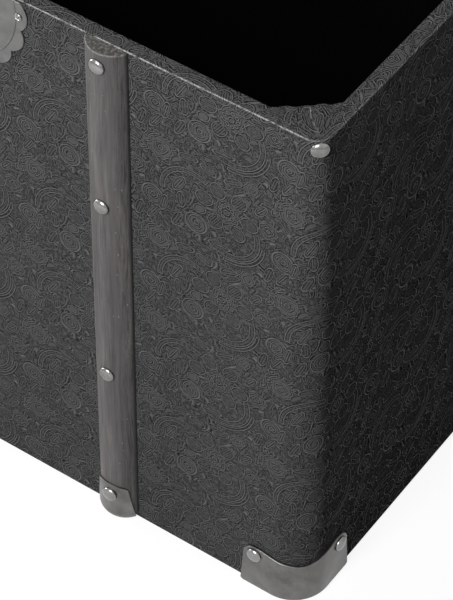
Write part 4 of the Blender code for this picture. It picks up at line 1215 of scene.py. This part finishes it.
# %% Places of the nails
def cap_nails(height):
    out, found = CAP_SEAT + CAP_METAL, []
    for sx, sy in CORNERS.values():
        found.append(((sx * (HALF_LENGTH - CAP_NAIL_IN), sy * (HALF_DEPTH + out), height), (0, sy, 0)))
        found.append(((sx * (HALF_LENGTH + out), sy * (HALF_DEPTH - CAP_NAIL_IN), height), (sx, 0, 0)))
    return found


def rim_nails(height):
    found = []
    for sx, sy in CORNERS.values():
        way = Vector((sx, sy, 0)).normalized()
        middle = Vector((sx * (HALF_LENGTH - RIM_RADIUS), sy * (HALF_DEPTH - RIM_RADIUS), height))
        found.append((middle + (RIM_RADIUS - 0.0006) * way, way))
    return found


body_nails = cap_nails(CAP_NAIL) + rim_nails(BODY_HEIGHT - RIM_NAIL)
lid_nails = cap_nails(LID_TOP - CAP_NAIL) + rim_nails(LID_BOTTOM + RIM_NAIL)
proud, on_cap = SLAT_HEIGHT - SUNK, SLAT_HEIGHT + SEAT + SHEET - SUNK
for x in (-SLAT_X, SLAT_X):
    for nails, out, heights in (
        (body_nails, proud, [BODY_HEIGHT - drop for drop in SLAT_NAIL_DROPS]),
        (body_nails, on_cap, [STRAP_NAIL]),
        (lid_nails, proud, [LID_BOTTOM + LID_FRONT_NAIL]),
        (lid_nails, on_cap, [LID_TOP - STRAP_NAIL]),
    ):
        nails += [((x, -HALF_DEPTH - out, height), FRONT) for height in heights]
    for out, places in ((on_cap, (STRAP_NAIL, DEPTH - STRAP_NAIL)), (proud, LID_TOP_NAILS)):
        lid_nails += [((x, y - HALF_DEPTH, LID_TOP + out), UP) for y in places]
finished("body_domed_nails", nail_tree.run("body_nails", body_nails), "nickel", "trunk_body")
finished("lid_domed_nails", nail_tree.run("lid_nails", lid_nails), "nickel", "lid")
print("nails:", len(body_nails), "on the body,", len(lid_nails), "on the lid")


# %% Places of the screws
def plate_screws(*angles):
    spots = [arc((0, PLATE_CENTRE), SCREW_RING, a, a, 1)[0] for a in angles]
    return [((x, PLATE_FACE + SUNK, z), FRONT) for x, z in spots]


def hinge_screws(sign, up):
    face = HINGE.y - KNUCKLE + LEAF_METAL - SUNK
    return [((HINGE_X * sign + x, face, HINGE.z + up * (KNUCKLE + z)), (0, 1, 0)) for x, z in HINGE_SCREWS]


def handle_screws(sign):
    face, (along, high) = sign * (HALF_LENGTH + HANDLE_FACE - 0.0004), HANDLE_SCREW
    return [((face, y * along, HANDLE_UP + z * high), (sign, 0, 0)) for y in (-1, 1) for z in (-1, 1)]


body_screws, lid_screws = plate_screws(0, 180, 270), plate_screws(45, 90, 135)
for sign in SIDES.values():
    body_screws += hinge_screws(sign, -1) + handle_screws(sign)
    lid_screws += hinge_screws(sign, 1)
finished("body_small_screws", screw_tree.run("body_screws", body_screws), "nickel", "trunk_body")
finished("lid_small_screws", screw_tree.run("lid_screws", lid_screws), "nickel", "lid")
print("screws:", len(body_screws), "on the body,", len(lid_screws), "on the lid")

# %% [markdown]
# ## Solids that stay as they are
# The boards are hidden and the linings are plain, so their solids only need a finish.

# %% Finish the solids that show
record_slots = {part["node"]: part["material_slot"] for part in frame["record"]["subparts"]}
for name, solid in frame["nodes"].items():
    solid.data.materials.clear()
    solid.data.materials.append(SLOTS[record_slots[name]])
print("solids finished:", len(record_slots))

# %% [markdown]
# ## Floor, light and camera
# The trunk stands on a white floor that keeps its shadow. One large soft lamp stands to the left of the
# camera and lights the front, so the right-hand end falls into shade. A weaker one from the left picks out
# the slats and a third one lights the rim from behind. The camera has a long lens and looks down on the
# near corner, so only that corner is in the picture.


# %% Floor and world
def rays(net, *kinds):
    """How far a ray is of each kind, as values."""
    path = net.node("ShaderNodeLightPath").socket.node
    return [Value(net, path.outputs[f"Is {kind} Ray"]) for kind in kinds]


def add_floor(size, height):
    finish = Finish("floor", Roughness=0.9, Specular_IOR_Level=0.1)
    seen, bounced = rays(finish, "Camera", "Diffuse")
    finish.feed(Base_Color=finish.blend(bounced, (0.95, 0.95, 0.95), (0.05, 0.05, 0.05)))
    end = finish.nodes["Material Output"].inputs[0]
    glow = finish.node("ShaderNodeEmission", None, {"Color": (1, 1, 1, 1), "Strength": 1.0})
    sockets = {0: seen * 0.88, 1: Value(finish, end.links[0].from_socket), 2: glow}
    finish.join(finish.node("ShaderNodeMixShader", None, sockets), end)
    mesh = bpy.data.meshes.new("floor")
    corners = [(x * size, y * size, height) for x, y in ((-1, -1), (1, -1), (1, 1), (-1, 1))]
    mesh.from_pydata(corners, [], [(0, 1, 2, 3)])
    mesh.materials.append(finish.material)
    linked("floor", mesh)


def light_world(ambient):
    world = bpy.data.worlds.new("studio")
    bpy.context.scene.world = world
    world.use_nodes = True
    net = Net(world.node_tree)
    camera, glossy, through = rays(net, "Camera", "Glossy", "Transmission")
    seen = camera.maths("MAXIMUM", glossy).maths("MAXIMUM", through)
    background = net.nodes["Background"].inputs
    net.join((1, 1, 1, 1), background[0])
    net.join(net.node("ShaderNodeMapRange", None, {"Value": seen, "To Min": ambient}), background[1])


add_floor(6.0, -0.0028)
light_world(0.006)


# %% Lamps
def add_lamp(name, spot, target, size, power):
    lamp = bpy.data.lights.new(name, "AREA")
    lamp.size, lamp.energy = size, power
    aim = (Vector(target) - Vector(spot)).to_track_quat("-Z", "Y")
    linked(name, lamp).matrix_world = MOVED(spot) @ aim.to_matrix().to_4x4()


add_lamp("key", (0.33, -2.15, 1.95), (0.1, -0.1, 0.2), 1.1, 100)
add_lamp("left", (-2.55, -0.65, 0.95), (0, -0.1, 0.2), 1.0, 38)
add_lamp("back", (-1.5, 2.4, 1.5), (0, 0.2, 0.4), 1.4, 26)

# %% Camera
CAMERA_AT, LOOKING, ROLL = (0.76155, -1.06994, 1.34288), (-0.38569, 0.56029, -0.73302), 0.5206
lens = bpy.data.cameras.new("camera")
lens.sensor_width, lens.lens = 36.0, 181.34
lens.clip_start, lens.clip_end = 0.01, 50
camera = linked("camera", lens)
forward = Vector(LOOKING).normalized()
level = forward.cross(Vector(UP)).normalized()
roll = math.radians(ROLL)
right = (math.cos(roll) * level + math.sin(roll) * level.cross(forward)).normalized()
turn = Matrix((right, right.cross(forward), -forward)).transposed().to_4x4()
camera.matrix_world = MOVED(CAMERA_AT) @ turn
bpy.context.scene.camera = camera
bpy.context.scene.view_settings.view_transform = "Standard"
print("camera", [round(v, 3) for v in camera.location], "lens", lens.lens, "mm")

# %% Count the triangles of the pieces
print("triangles:", sum(pieces_made.values()), "in", len(pieces_made), "pieces")
